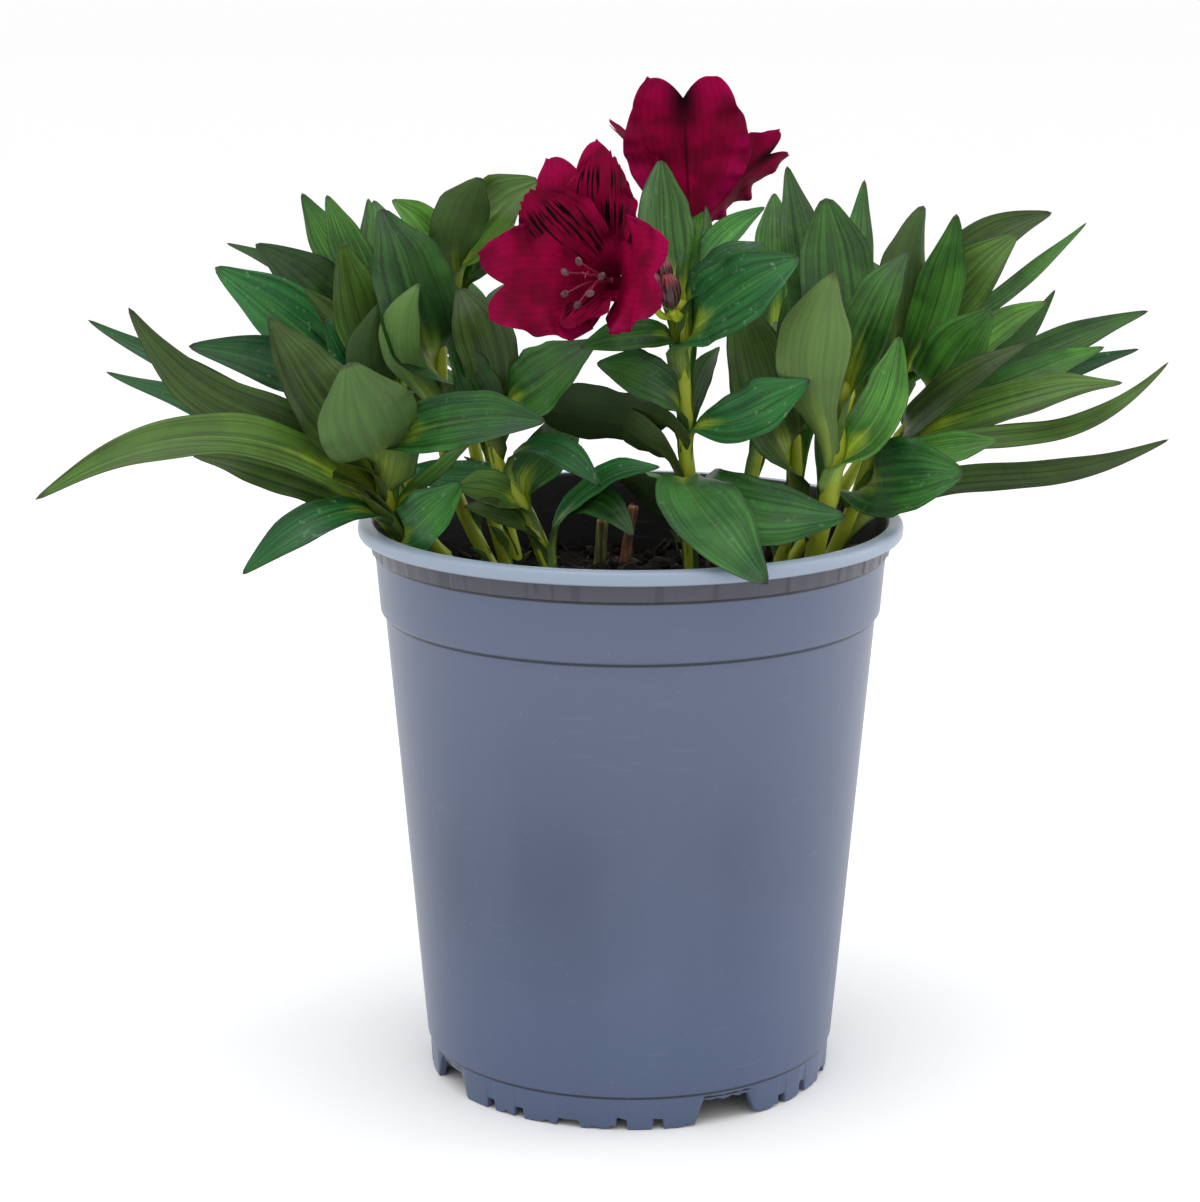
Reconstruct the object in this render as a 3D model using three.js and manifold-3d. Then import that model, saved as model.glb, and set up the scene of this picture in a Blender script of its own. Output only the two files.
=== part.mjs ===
// A peruvian lily in its nursery pot: a thin-walled plastic pot on a notched foot, potting soil,
// leafy shoots standing in holes in the soil, a flowering stem with two open blooms and a knot of
// buds, and the stubs of two cut stems.
// Millimetres, +Z up. The origin is on the pot's axis, on the surface that the pot stands on;
// x runs to the right and y away from whoever looks at the front.
import * as THREE from "three";
import { mergeVertices } from "three/addons/utils/BufferGeometryUtils.js";
import Module from "manifold-3d";

const wasm = await Module();
wasm.setup();

// Driving dimensions of the pot
const POT_HEIGHT = 176;
const RIM_RADIUS = 84;
const LIP_HEIGHT = 4.4;
const LIP_DEPTH = 3.6;
const LIP_ROUND = 1.2;
const WALL = 1.4;
const STEP_HEIGHT = 147.3;
const STEP_RADIUS = 76;
const STEP_OUT = 1.4;
const STEP_RISE = 1.2;
const BAND_HEIGHT = 166;
const BAND_RADIUS = 78.9;
const FOOT_HEIGHT = 10.4;
const FOOT_RADIUS = 64.4;
const FOOT_INSET = 0.7;
const FOOT_WALL = 2.2;
const FOOT_TAPER = 0.6;
const FLOOR = 1.6;
const POT_SIDES = 32;
const DRAIN_HOLES = 8;
const DRAIN_RADIUS = 5;
const DRAIN_CIRCLE = 50;

// The notches in the foot come in like groups round the pot. Each notch has its turn from the
// start of its group in degrees, its width and its height. The first group starts this many degrees
// to the left of the front.
const NOTCH_START = -62;
const NOTCH_GROUPS = 4;
const NOTCHES = [
  [0, 22, 7.5],
  [20, 4, 3.2],
  [30, 4, 3.2],
  [45, 9, 2.2],
  [60, 4, 3.2],
  [70, 4, 3.2],
];

// Driving dimensions of the soil
const SOIL_TOP = 152;
const SOIL_RADIUS = 74.1;
const SOIL_LUMP = 1.3;
const SOIL_SIDES = 24;
const SOIL_SHOULDER = 8;
const CLEAR = 0.35;
const HOLE_CLEAR = 1.1;
const HOLE_DEPTH = 24;

// Driving dimensions of stems, leaves and tepals
const STEM_SIDES = 5;
const STEM_STEPS = 4;
const LEAF_THICK = 0.8;
const LEAF_TROUGH = 0.22;
const TEPAL_THICK = 0.7;
const TEPAL_TROUGH = 0.16;
const BACK_REACH = 91;
const SEED = 20417;

// How a blade's width runs along it: where it is widest, how keen its ends are, and the share of
// its width that it keeps at its foot and at its tip.
const FORMS = {
  lance: { widest: 0.5, keen: 1.2, foot: 0.13, tip: 0.03 },
  strap: { widest: 0.42, keen: 1.05, foot: 0.18, tip: 0.03 },
  oval: { widest: 0.5, keen: 0.95, foot: 0.12, tip: 0.03 },
  stalked: { widest: 0.64, keen: 1.8, foot: 0.12, tip: 0.03 },
  heart: { widest: 0.7, keen: 1.2, foot: 0.1, tip: 0.66 },
  spoon: { widest: 0.64, keen: 1.3, foot: 0.1, tip: 0.25 },
};

// The leafy shoots. Each has its stem's path, its radius at foot and top, and its leaves, written as
// [share of the stem where it leaves, [tip], width, bow, sway, roll, form, swing]. Bow lifts the
// middle of the leaf off the straight line to its tip, sway moves it sideways, roll turns its face
// in degrees, and a swing, where one is given, lifts the first half and drops the second.
// More gives the leaves on the sides that face away: how many, and the sector they fan over.
const SHOOTS = {
  left_front_shoot: {
    path: [[-58, -14, 142], [-61, -15, 152], [-70, -18, 172], [-74, -22, 187], [-73, -26, 204]],
    radius: [2.8, 2.2],
    leaves: [
      [0.59, [-171, -68, 195], 15, 22, 5, -50, "strap"],
      [0.62, [-131, -26, 201], 18, 3, -1, -55, "lance"],
      [0.72, [-145, -42, 246], 18, -5, 2, -60, "strap", 4],
      [0.88, [-106, -28, 242], 23, -3, 4, -60, "lance"],
      [0.93, [-82, -46, 230], 31, -8, 5, 40, "oval"],
      [0.99, [-25, -55, 215], 18, 3, -3, 65, "lance"],
      [0.67, [-48, -22, 204], 7, -1, -3, 40, "strap"],
      [0.52, [-50, -36, 193], 18, -4, -6, 85, "oval"],
      [0.64, [-114, -50, 168], 12, 9, 6, -40, "lance"],
    ],
    more: { count: 1, from: 95, to: 120, length: 40 },
  },
  left_back_shoot: {
    path: [[-50, 13, 142], [-52, 13, 152], [-67, 14, 172], [-71, 16, 197], [-73, 18, 231]],
    radius: [2.6, 1.9],
    leaves: [
      [0.8, [-126, 2, 253], 24, 1, 0, -60, "lance"],
      [0.87, [-115, 16, 259], 22, 2, -2, -60, "lance"],
      [0.97, [-126, 26, 258], 7, 2, -4, -50, "lance"],
      [0.98, [-104, 38, 272], 14, -3, -3, -55, "lance"],
      [0.99, [-94, 22, 273], 13, -1, 2, -55, "lance"],
      [0.99, [-84, 46, 270], 11, -1, 0, -40, "lance"],
      [0.66, [-159, -4, 223], 10, -3, 1, -50, "stalked"],
      [0.72, [-168, 14, 236], 8, -4, 1, -50, "stalked"],
      [0.75, [-133, -12, 231], 16, 5, 4, -60, "stalked"],
      [0.82, [-98, 0, 247], 17, -1, 1, -60, "lance"],
      [0.78, [-92, -8, 238], 16, -4, 4, -100, "lance"],
      [0.89, [-86, -8, 261], 21, -8, 2, -110, "oval"],
      [0.85, [-75, -18, 245], 13, -7, -6, 20, "lance"],
    ],
    more: { count: 2, from: 100, to: 130, length: 50 },
  },
  left_centre_shoot: {
    path: [[-38, -3, 142], [-39, -3, 152], [-53, 0, 181], [-58, 2, 203], [-58, 3, 229]],
    radius: [2.4, 1.8],
    leaves: [
      [0.91, [-73, -8, 272], 29, -4, 5, -90, "oval"],
      [0.84, [-62, -26, 252], 13, -4, -9, 0, "lance"],
    ],
    more: { count: 1, from: 10, to: 40, length: 28 },
  },
  upper_left_shoot: {
    path: [[-38, 26, 142], [-39, 27, 152], [-50, 28, 195], [-54, 26, 227], [-55, 24, 249]],
    radius: [2.3, 1.7],
    leaves: [
      [0.95, [-73, 18, 272], 16, 2, 0, -60, "lance"],
      [0.99, [-46, 14, 279], 18, 0, -3, -30, "oval"],
      [0.99, [-29, 16, 278], 22, 3, 0, 60, "oval"],
      [0.93, [-32, 34, 262], 11, 2, 2, 60, "lance"],
    ],
    more: { count: 4, from: 60, to: 150, length: 45 },
  },
  small_front_shoot: {
    path: [[-19, -24, 142], [-21, -24, 152], [-30, -22, 179], [-40, -20, 196], [-41, -18, 213]],
    radius: [2.4, 1.8],
    leaves: [
      [0.97, [-51, -18, 249], 19, 3, 4, -65, "oval"],
      [0.9, [-54, -26, 234], 15, 0, 3, -80, "lance"],
      [0.99, [-11, -30, 236], 23, -3, -5, 60, "lance"],
      [0.74, [-9, -40, 193], 10, 9, -2, 40, "stalked"],
      [0.72, [-71, -4, 192], 10, -3, -4, -60, "lance"],
      [0.56, [-52, -32, 191], 12, 2, 1, -60, "lance"],
      [0.45, [-49, -36, 186], 9, 2, 1, -50, "lance"],
      [0.42, [1, -44, 179], 12, 12, 2, 45, "stalked"],
      [0.42, [8, -38, 200], 14, 5, -2, 35, "stalked"],
      [0.62, [-15, 3, 207], 15, 1, 0, 70, "lance"],
    ],
    more: { count: 1, from: 80, to: 100, length: 28 },
  },
  flowering_stem: {
    path: [[19, -16, 142], [19, -17, 152], [17, -20, 192], [16, -22, 216], [15, -24, 246]],
    radius: [2.5, 1.9],
    leaves: [
      [0.69, [-34, -16, 216], 21, -4, -3, 60, "lance"],
      [0.51, [38, -88, 175], 24, 8, -10, 10, "stalked"],
      [0.5, [63, -46, 186], 22, -4, -11, 60, "oval"],
      [0.68, [51, -46, 226], 18, -5, -4, 70, "stalked"],
      [0.71, [-10, -34, 229], 17, 2, 7, -60, "stalked"],
      [0.53, [-8, -8, 213], 15, 0, 5, 60, "lance"],
      [0.91, [48, -46, 261], 23, 0, -5, 75, "lance"],
      [0.91, [-15, -38, 234], 11, 2, 3, -50, "lance"],
      [0.99, [10, -14, 286], 19, -3, 2, 0, "oval"],
      [0.99, [40, -10, 272], 9, 3, 3, 50, "lance"],
      [0.99, [39, -30, 264], 11, 2, -3, 50, "lance"],
      [0.98, [23, 0, 272], 7, -6, -1, 50, "lance"],
      [0.4, [-3, -30, 194], 11, 2, -2, 50, "oval"],
    ],
    more: { count: 3, from: 60, to: 120, length: 36 },
  },
  right_front_shoot: {
    path: [[50, -26, 142], [52, -27, 152], [56, -30, 175], [60, -31, 193], [63, -33, 223]],
    radius: [3.2, 2.6],
    leaves: [
      [0.99, [80, -32, 262], 16, 2, -5, 60, "strap"],
      [0.84, [59, -44, 256], 23, -8, -7, -10, "stalked"],
      [0.82, [77, -46, 238], 15, -7, -1, 100, "oval"],
      [0.98, [58, -12, 275], 24, -1, -1, 0, "oval"],
      [0.97, [48, 2, 284], 15, -3, 1, -15, "lance"],
      [0.98, [71, 10, 279], 11, -7, 1, 15, "lance"],
      [0.96, [48, -14, 249], 14, 1, -2, -20, "oval"],
    ],
    more: { count: 1, from: 85, to: 100, length: 30 },
  },
  right_low_shoot: {
    path: [[54, -8, 142], [56, -8, 152], [65, -11, 174], [70, -12, 188], [77, -12, 210]],
    radius: [2.5, 1.9],
    leaves: [
      [0.77, [97, -44, 198], 24, 0, -6, 75, "oval"],
      [0.49, [170, 25, 197], 10, 1, 6, 50, "strap", 4],
      [0.82, [165, 8, 224], 8, -8, 3, 50, "strap", 4],
      [0.84, [110, -22, 204], 11, 0, -2, 60, "lance"],
    ],
  },
  right_middle_shoot: {
    path: [[58, 14, 142], [60, 14, 152], [75, 16, 181], [84, 18, 197], [93, 18, 210]],
    radius: [2.5, 1.9],
    leaves: [
      [0.76, [150, 0, 220], 13, 2, -4, 60, "lance"],
      [0.75, [119, -14, 233], 11, -1, -12, 80, "lance"],
      [0.88, [147, 16, 228], 11, 0, -3, 60, "lance"],
      [0.91, [162, 28, 237], 11, 1, 2, 60, "lance"],
      [0.89, [162, 40, 224], 8, -1, 2, 60, "lance"],
      [0.96, [136, 46, 241], 8, -7, 3, 60, "lance"],
      [0.97, [127, 10, 242], 12, 3, 1, 60, "lance"],
      [0.96, [108, -8, 241], 22, -3, -5, 105, "oval"],
    ],
  },
  right_back_shoot: {
    path: [[50, 38, 142], [51, 38, 152], [72, 38, 184], [82, 38, 203], [88, 38, 224]],
    radius: [2.4, 1.8],
    leaves: [
      [0.99, [146, 60, 262], 6, -6, 4, 60, "lance"],
      [0.95, [132, 36, 267], 16, 9, -1, 60, "lance"],
      [0.86, [120, 30, 261], 21, 2, -2, 60, "lance"],
      [0.81, [100, 22, 267], 17, -5, 0, 100, "lance"],
      [0.91, [91, 32, 269], 19, 1, -3, 0, "oval"],
    ],
    more: { count: 4, from: 30, to: 120, length: 48 },
  },
  centre_right_shoot: {
    path: [[44, 8, 142], [45, 8, 152], [51, 8, 180], [51, 6, 199], [49, 4, 212]],
    radius: [2.3, 1.7],
    leaves: [
      [0.61, [32, -10, 247], 22, -5, 3, -110, "lance"],
    ],
    more: { count: 3, from: 60, to: 130, length: 36 },
  },
  back_left_shoot: {
    path: [[-36, 46, 142], [-37, 47, 152], [-45, 54, 185], [-49, 59, 222]],
    radius: [2.3, 1.7],
    leaves: [],
    more: { count: 7, from: 40, to: 200, length: 44 },
  },
  back_right_shoot: {
    path: [[32, 48, 142], [33, 49, 152], [42, 56, 188], [48, 60, 224]],
    radius: [2.3, 1.7],
    leaves: [],
    more: { count: 7, from: -20, to: 140, length: 44 },
  },
  young_back_sprout: {
    path: [[17, 60, 142], [17, 60, 152], [17, 62, 160], [16, 64, 167]],
    radius: [1.9, 1.4],
    leaves: [],
    more: { count: 4, from: 20, to: 160, length: 16 },
  },
};

// The blooms: the heart that the tepals grow from, the way the bloom faces, and its tepals as
// [[tip], width, bow, sway, roll, form]
const BLOOMS = {
  front_bloom: {
    heart: [-4, -35, 252],
    facing: [-0.45, -0.85, 0.28],
    tepals: [
      [[-42, -54, 253], 36, 4, 0, 0, "heart"],
      [[-17, -29, 290], 31, 4, 0, 0, "heart"],
      [[10, -60, 257], 34, 5, 0, 0, "heart"],
      [[-30, -45, 280], 21, 4, 0, 0, "spoon"],
      [[-8, -42, 292], 19, 5, 0, 0, "spoon"],
      [[-19, -57, 241], 14, 3, 0, 0, "spoon"],
    ],
  },
  rear_bloom: {
    heart: [18, 2, 264],
    facing: [0.05, 0.7, 0.7],
    tepals: [
      [[15, -5, 310], 38, 1, 0, 0, "heart"],
      [[-7, 15, 295], 24, 3, 0, -40, "heart"],
      [[47, 14, 289], 26, 3, 0, 8, "heart"],
      [[6, 16, 300], 17, 3, 0, 0, "spoon"],
      [[32, 16, 298], 17, 3, 0, 0, "spoon"],
      [[20, 44, 264], 15, 3, 0, 0, "spoon"],
    ],
  },
};
const HEART_RADIUS = 2.3;
const ROOT_OUT = 1.9;
const OVARY_RADIUS = 2.6;
const OVARY_STRETCH = 1.3;
const STALK_RADIUS = 1.1;
const STAMENS = 6;
const STAMEN_LENGTH = 20;
const STAMEN_FAN = 6;
const STAMEN_DROOP = 4.5;
const KNOB_RADIUS = 1.2;
const FILAMENT_RADIUS = 0.5;
const ANTHER_RADIUS = 1.1;

// The buds: middle, radius and stretch of each, and the way they all point
const BUDS = [
  [[6, -40, 251], 3.5, 1.6],
  [[11, -38, 250], 3.6, 1.6],
  [[9, -36, 255], 3.2, 1.6],
];
const BUD_POINT = [-0.15, -0.2, 0.97];

const STUBS = {
  olive_cut_stub: { path: [[-10, 42, 144], [-10, 42, 152], [-9, 41, 168]], radius: 2 },
  brown_cut_stub: { path: [[-2, 45, 144], [-2, 45, 152], [1, 44, 172]], radius: 1.7 },
};

const COLOURS = {
  pot: 0x7d8896,
  soil: 0x2a1f1a,
  leaf: 0x3c6b32,
  crimson: 0x8c0c34,
  stamen: 0xc98a86,
  bud: 0x5a0f26,
  stub: 0x8a6a3c,
};

const vec = (point) => new THREE.Vector3(...point);
const curveOf = (path) => new THREE.CatmullRomCurve3(path.map(vec), false, "catmullrom", 0.5);

// A geometry as a solid, with its shared corners merged
function solidOf(geometry) {
  geometry.deleteAttribute("normal");
  geometry.deleteAttribute("uv");
  const merged = mergeVertices(geometry, 1e-4);
  return new wasm.Manifold(
    new wasm.Mesh({
      numProp: 3,
      vertProperties: new Float32Array(merged.attributes.position.array),
      triVerts: new Uint32Array(merged.index.array),
    }),
  );
}

// The largest body of a solid: a hollow that its pieces close off is filled, and a loose scrap is
// left out
function bodyOf(solid) {
  const bodies = solid.decompose();
  return bodies.reduce((most, body) => (body.volume() > most.volume() ? body : most));
}

// A solid as a named mesh with its own material
function meshOf(name, solid, colour, roughness) {
  const made = bodyOf(solid).getMesh();
  const geometry = new THREE.BufferGeometry();
  geometry.setAttribute("position", new THREE.BufferAttribute(made.vertProperties, 3));
  geometry.setIndex(new THREE.BufferAttribute(made.triVerts, 1));
  geometry.computeVertexNormals();
  const material = new THREE.MeshStandardMaterial({ color: colour, roughness, metalness: 0 });
  const mesh = new THREE.Mesh(geometry, material);
  mesh.name = name;
  return mesh;
}

// Even random draws from 0 to 1, the same on every run
function drawsFrom(seed) {
  let state = seed;
  return () => {
    state = (state * 16807) % 2147483647;
    return state / 2147483647;
  };
}

// A turn that lays the y axis along a direction
function turnTo(along) {
  return new THREE.Quaternion().setFromUnitVectors(new THREE.Vector3(0, 1, 0), along);
}

// A round stem along a path, tapering from its foot to its top
function stemSolid(path, footRadius, topRadius, sides, steps) {
  const curve = curveOf(path);
  const geometry = new THREE.CylinderGeometry(topRadius, footRadius, 1, sides, steps);
  const position = geometry.attributes.position;
  for (let i = 0; i < position.count; i++) {
    const share = position.getY(i) + 0.5;
    const along = curve.getTangent(share);
    const side = new THREE.Vector3(0, 1, 0).cross(along).normalize();
    const front = new THREE.Vector3().crossVectors(along, side);
    const at = curve.getPoint(share);
    at.addScaledVector(side, -position.getX(i));
    at.addScaledVector(front, position.getZ(i));
    position.setXYZ(i, at.x, at.y, at.z);
  }
  return solidOf(geometry);
}

// A round ball, stretched along a direction
function ballSolid(centre, radius, stretch, along, sides) {
  const geometry = new THREE.SphereGeometry(radius, sides, Math.ceil(sides / 2) + 1);
  geometry.scale(1, stretch, 1);
  geometry.applyQuaternion(turnTo(along));
  geometry.translate(...centre);
  return solidOf(geometry);
}

// The half width of a form at a share of the way along, as a share of its widest half
function spread(form, t) {
  const { widest, keen, foot, tip } = FORMS[form];
  const rise = Math.pow(t / widest, widest) * Math.pow((1 - t) / (1 - widest), 1 - widest);
  return Math.max(Math.pow(rise, keen), foot * (1 - t) * (1 - t), tip * t);
}

// How far along the centreline each of the lines across a blade reaches: a heart's lobes stand
// past its notch, and its corners are rounded off
function reachOf(form, u) {
  if (form === "heart") return 1 - 0.42 * (Math.abs(u) - 0.6) ** 2;
  if (form === "spoon") return 1 - 0.1 * u * u;
  return 1;
}

// A function that gives the point of a blade at a share t along it, u across it from -1 to 1, and
// a height off its middle surface. Up says which way its upper face looks. The centreline is the
// straight line from root to tip, lifted by 4t(1-t) of the bow and by sin(2 pi t) of the swing, and
// moved sideways by 4t(1-t) of the sway. Across, the blade is a shallow trough turned by its roll.
function bladeSurface(root, tip, width, bow, sway, roll, form, swing, up, trough) {
  const from = vec(root);
  const chord = vec(tip).sub(from);
  const heading = chord.clone().addScaledVector(up, -chord.dot(up)).normalize();
  const level = new THREE.Vector3().crossVectors(up, heading);
  const lift = new THREE.Vector3().crossVectors(chord, level).normalize();
  const angle = THREE.MathUtils.degToRad(roll);
  return (t, u, height, share) => {
    const hump = 4 * t * (1 - t);
    const slope = 4 * (1 - 2 * t);
    const wave = 2 * Math.PI * t;
    const along = chord.clone();
    along.addScaledVector(lift, bow * slope + swing * 2 * Math.PI * Math.cos(wave));
    along.addScaledVector(level, sway * slope).normalize();
    const normal = new THREE.Vector3().crossVectors(along, level).normalize();
    const side = new THREE.Vector3().crossVectors(normal, along);
    const across = side.clone().multiplyScalar(Math.cos(angle));
    across.addScaledVector(normal, Math.sin(angle));
    const face = normal.multiplyScalar(Math.cos(angle)).addScaledVector(side, -Math.sin(angle));
    const half = (width / 2) * spread(form, share);
    const at = from.clone().addScaledVector(chord, t);
    at.addScaledVector(lift, bow * hump + swing * Math.sin(wave));
    at.addScaledVector(level, sway * hump);
    at.addScaledVector(across, u * half);
    return at.addScaledVector(face, trough * half * u * u + height);
  };
}

// A solid of even thickness over a blade's surface: rings of an upper and a lower line across it,
// joined along it and split alike on both faces. A pointed blade ends in one corner.
function bladeSolid(surface, form, steps, columns, thick, pointed) {
  const vertices = [];
  const rings = pointed ? steps : steps + 1;
  for (let i = 0; i < rings; i++) {
    for (const face of [1, -1]) {
      for (let j = 0; j <= columns; j++) {
        const u = (2 * j) / columns - 1;
        const t = (i / steps) * reachOf(form, u);
        vertices.push(...surface(t, u, (face * thick) / 2, i / steps).toArray());
      }
    }
  }
  if (pointed) vertices.push(...surface(1, 0, 0, 1).toArray());
  const line = columns + 1;
  const ring = 2 * line;
  const index = [];
  const quad = (a, b, c, d) => index.push(a, b, c, a, c, d);
  for (let i = 0; i < rings - 1; i++) {
    const here = i * ring;
    const next = here + ring;
    for (let j = 0; j < columns; j++) {
      quad(here + j, next + j, next + j + 1, here + j + 1);
      const low = here + line + j;
      index.push(low, low + ring + 1, low + ring, low, low + 1, low + ring + 1);
    }
    quad(here, here + line, next + line, next);
    quad(here + columns, next + columns, next + line + columns, here + line + columns);
  }
  const last = (rings - 1) * ring;
  for (let j = 0; j < columns; j++) {
    quad(j, j + 1, line + j + 1, line + j);
    if (pointed) {
      index.push(last + j, rings * ring, last + j + 1);
      index.push(last + line + j, last + line + j + 1, rings * ring);
    } else {
      quad(last + j, last + line + j, last + line + j + 1, last + j + 1);
    }
  }
  if (pointed) {
    index.push(last, last + line, rings * ring);
    index.push(last + columns, rings * ring, last + line + columns);
  }
  const geometry = new THREE.BufferGeometry();
  geometry.setAttribute("position", new THREE.Float32BufferAttribute(vertices, 3));
  geometry.setIndex(index);
  return solidOf(geometry);
}

// One leaf from its root, with more steps the longer it is
function leafSolid(root, [, tip, width, bow, sway, roll, form, swing = 0]) {
  const up = new THREE.Vector3(0, 0, 1);
  const length = vec(root).distanceTo(vec(tip));
  const steps = length < 55 ? 3 : length < 100 ? 4 : 5;
  const surface = bladeSurface(root, tip, width, bow, sway, roll, form, swing, up, LEAF_TROUGH);
  return bladeSolid(surface, form, steps, 2, LEAF_THICK, true);
}

// The leaves that a shoot has besides the listed ones: they leave it by turns round its sector, and
// rise and reach by seeded draws. None passes the reach that the front leaves have.
function drawnLeaves(shoot, draw) {
  if (!shoot.more) return [];
  const { count, from, to, length } = shoot.more;
  const curve = curveOf(shoot.path);
  const leaves = [];
  for (let i = 0; i < count; i++) {
    const share = 0.62 + (0.36 * (i + draw())) / count;
    const azimuth = THREE.MathUtils.degToRad(((i * 0.618) % 1) * (to - from) + from);
    const rise = THREE.MathUtils.degToRad(34 + 46 * share * draw());
    const reach = length * (0.8 + 0.4 * draw());
    const root = curve.getPoint(share);
    const tip = [
      root.x + reach * Math.cos(rise) * Math.cos(azimuth),
      Math.min(root.y + reach * Math.cos(rise) * Math.sin(azimuth), BACK_REACH),
      root.z + reach * Math.sin(rise),
    ];
    const width = Math.min(reach * 0.28, 10 + 6 * draw());
    const bow = 2 + 3 * draw();
    const roll = 30 * (draw() - 0.5);
    leaves.push([share, tip, width, bow, 0, roll, "lance"]);
  }
  return leaves;
}

// A stem with its leaves
function shootSolid(shoot, draw) {
  const curve = curveOf(shoot.path);
  let solid = stemSolid(shoot.path, ...shoot.radius, STEM_SIDES, STEM_STEPS);
  for (const leaf of [...shoot.leaves, ...drawnLeaves(shoot, draw)]) {
    solid = solid.add(leafSolid(curve.getPoint(leaf[0]).toArray(), leaf));
  }
  return solid;
}

// The stalks that the flowering stem ends in: one to each bloom with its seed case, and one to
// each bud
function stalkSolids() {
  const top = vec(SHOOTS.flowering_stem.path.at(-1));
  const foot = top.clone().setZ(top.z - 4).toArray();
  const solids = [];
  for (const bloom of Object.values(BLOOMS)) {
    const facing = vec(bloom.facing).normalize();
    const drop = HEART_RADIUS + CLEAR + OVARY_RADIUS * OVARY_STRETCH;
    const ovary = vec(bloom.heart).addScaledVector(facing, -drop);
    const middle = ovary.clone().addScaledVector(facing, -6).lerp(top, 0.25);
    solids.push(ballSolid(ovary.toArray(), OVARY_RADIUS, OVARY_STRETCH, facing, 6));
    const path = [foot, middle.toArray(), ovary.toArray()];
    solids.push(stemSolid(path, STALK_RADIUS, STALK_RADIUS, STEM_SIDES, STEM_STEPS));
  }
  const point = vec(BUD_POINT).normalize();
  for (const [middle, radius, stretch] of BUDS.slice(0, 2)) {
    const end = vec(middle).addScaledVector(point, -radius * stretch - CLEAR);
    const bend = end.clone().addScaledVector(point, -5).lerp(top, 0.3);
    const path = [foot, bend.toArray(), end.toArray()];
    solids.push(stemSolid(path, STALK_RADIUS, STALK_RADIUS, STEM_SIDES, STEM_STEPS));
  }
  return solids;
}

// A bloom's tepals, joined at its heart
function bloomSolid(bloom) {
  const facing = vec(bloom.facing).normalize();
  let solid = ballSolid(bloom.heart, HEART_RADIUS, 1, facing, 6);
  for (const [tip, width, bow, sway, roll, form] of bloom.tepals) {
    const out = vec(tip).sub(vec(bloom.heart)).projectOnPlane(facing).normalize();
    const root = vec(bloom.heart).addScaledVector(out, ROOT_OUT).toArray();
    const measures = [root, tip, width, bow, sway, roll, form, 0, facing, TEPAL_TROUGH];
    const columns = form === "heart" ? 4 : 2;
    solid = solid.add(bladeSolid(bladeSurface(...measures), form, 4, columns, TEPAL_THICK, false));
  }
  return solid;
}

// The stamens, which fan out of a small knob in front of a bloom's heart
function stamenSolid(bloom) {
  const facing = vec(bloom.facing).normalize();
  const knob = vec(bloom.heart).addScaledVector(facing, HEART_RADIUS + CLEAR + KNOB_RADIUS);
  const side = new THREE.Vector3().crossVectors(facing, new THREE.Vector3(0, 0, 1)).normalize();
  const rise = new THREE.Vector3().crossVectors(side, facing);
  let solid = ballSolid(knob.toArray(), KNOB_RADIUS, 1, facing, 6);
  for (let i = 0; i < STAMENS; i++) {
    const turn = (2 * Math.PI * (i + 0.5)) / STAMENS;
    const length = STAMEN_LENGTH + 3 * Math.sin(2.4 * i);
    const out = side.clone().multiplyScalar(Math.cos(turn)).addScaledVector(rise, Math.sin(turn));
    const middle = knob.clone().addScaledVector(facing, length * 0.55);
    middle.addScaledVector(out, STAMEN_FAN * 0.35);
    middle.z -= STAMEN_DROOP * 0.3;
    const end = knob.clone().addScaledVector(facing, length).addScaledVector(out, STAMEN_FAN);
    end.z -= STAMEN_DROOP;
    const path = [knob, middle, end].map((point) => point.toArray());
    solid = solid.add(stemSolid(path, FILAMENT_RADIUS, FILAMENT_RADIUS, 3, 2));
    solid = solid.add(ballSolid(end.toArray(), ANTHER_RADIUS, 1.5, out, 4));
  }
  return solid;
}

// The buds, pressed together in one knot
function budSolid() {
  const point = vec(BUD_POINT).normalize();
  const balls = BUDS.map(([middle, radius, stretch]) => ballSolid(middle, radius, stretch, point, 8));
  return balls.reduce((knot, ball) => knot.add(ball));
}

// One notch as an arch that opens at the foot's lower edge, at a turn from the front
function notchSolid(turn, width, height) {
  const half = width / 2;
  const arch = new THREE.Shape();
  arch.moveTo(-half, -1);
  arch.lineTo(half, -1);
  arch.lineTo(half * 0.7, height);
  arch.lineTo(-half * 0.7, height);
  const geometry = new THREE.ExtrudeGeometry(arch, { depth: 12, bevelEnabled: false });
  geometry.rotateX(Math.PI / 2);
  geometry.translate(0, -FOOT_RADIUS + 6, 0);
  geometry.rotateZ(THREE.MathUtils.degToRad(turn));
  return solidOf(geometry);
}

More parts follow.
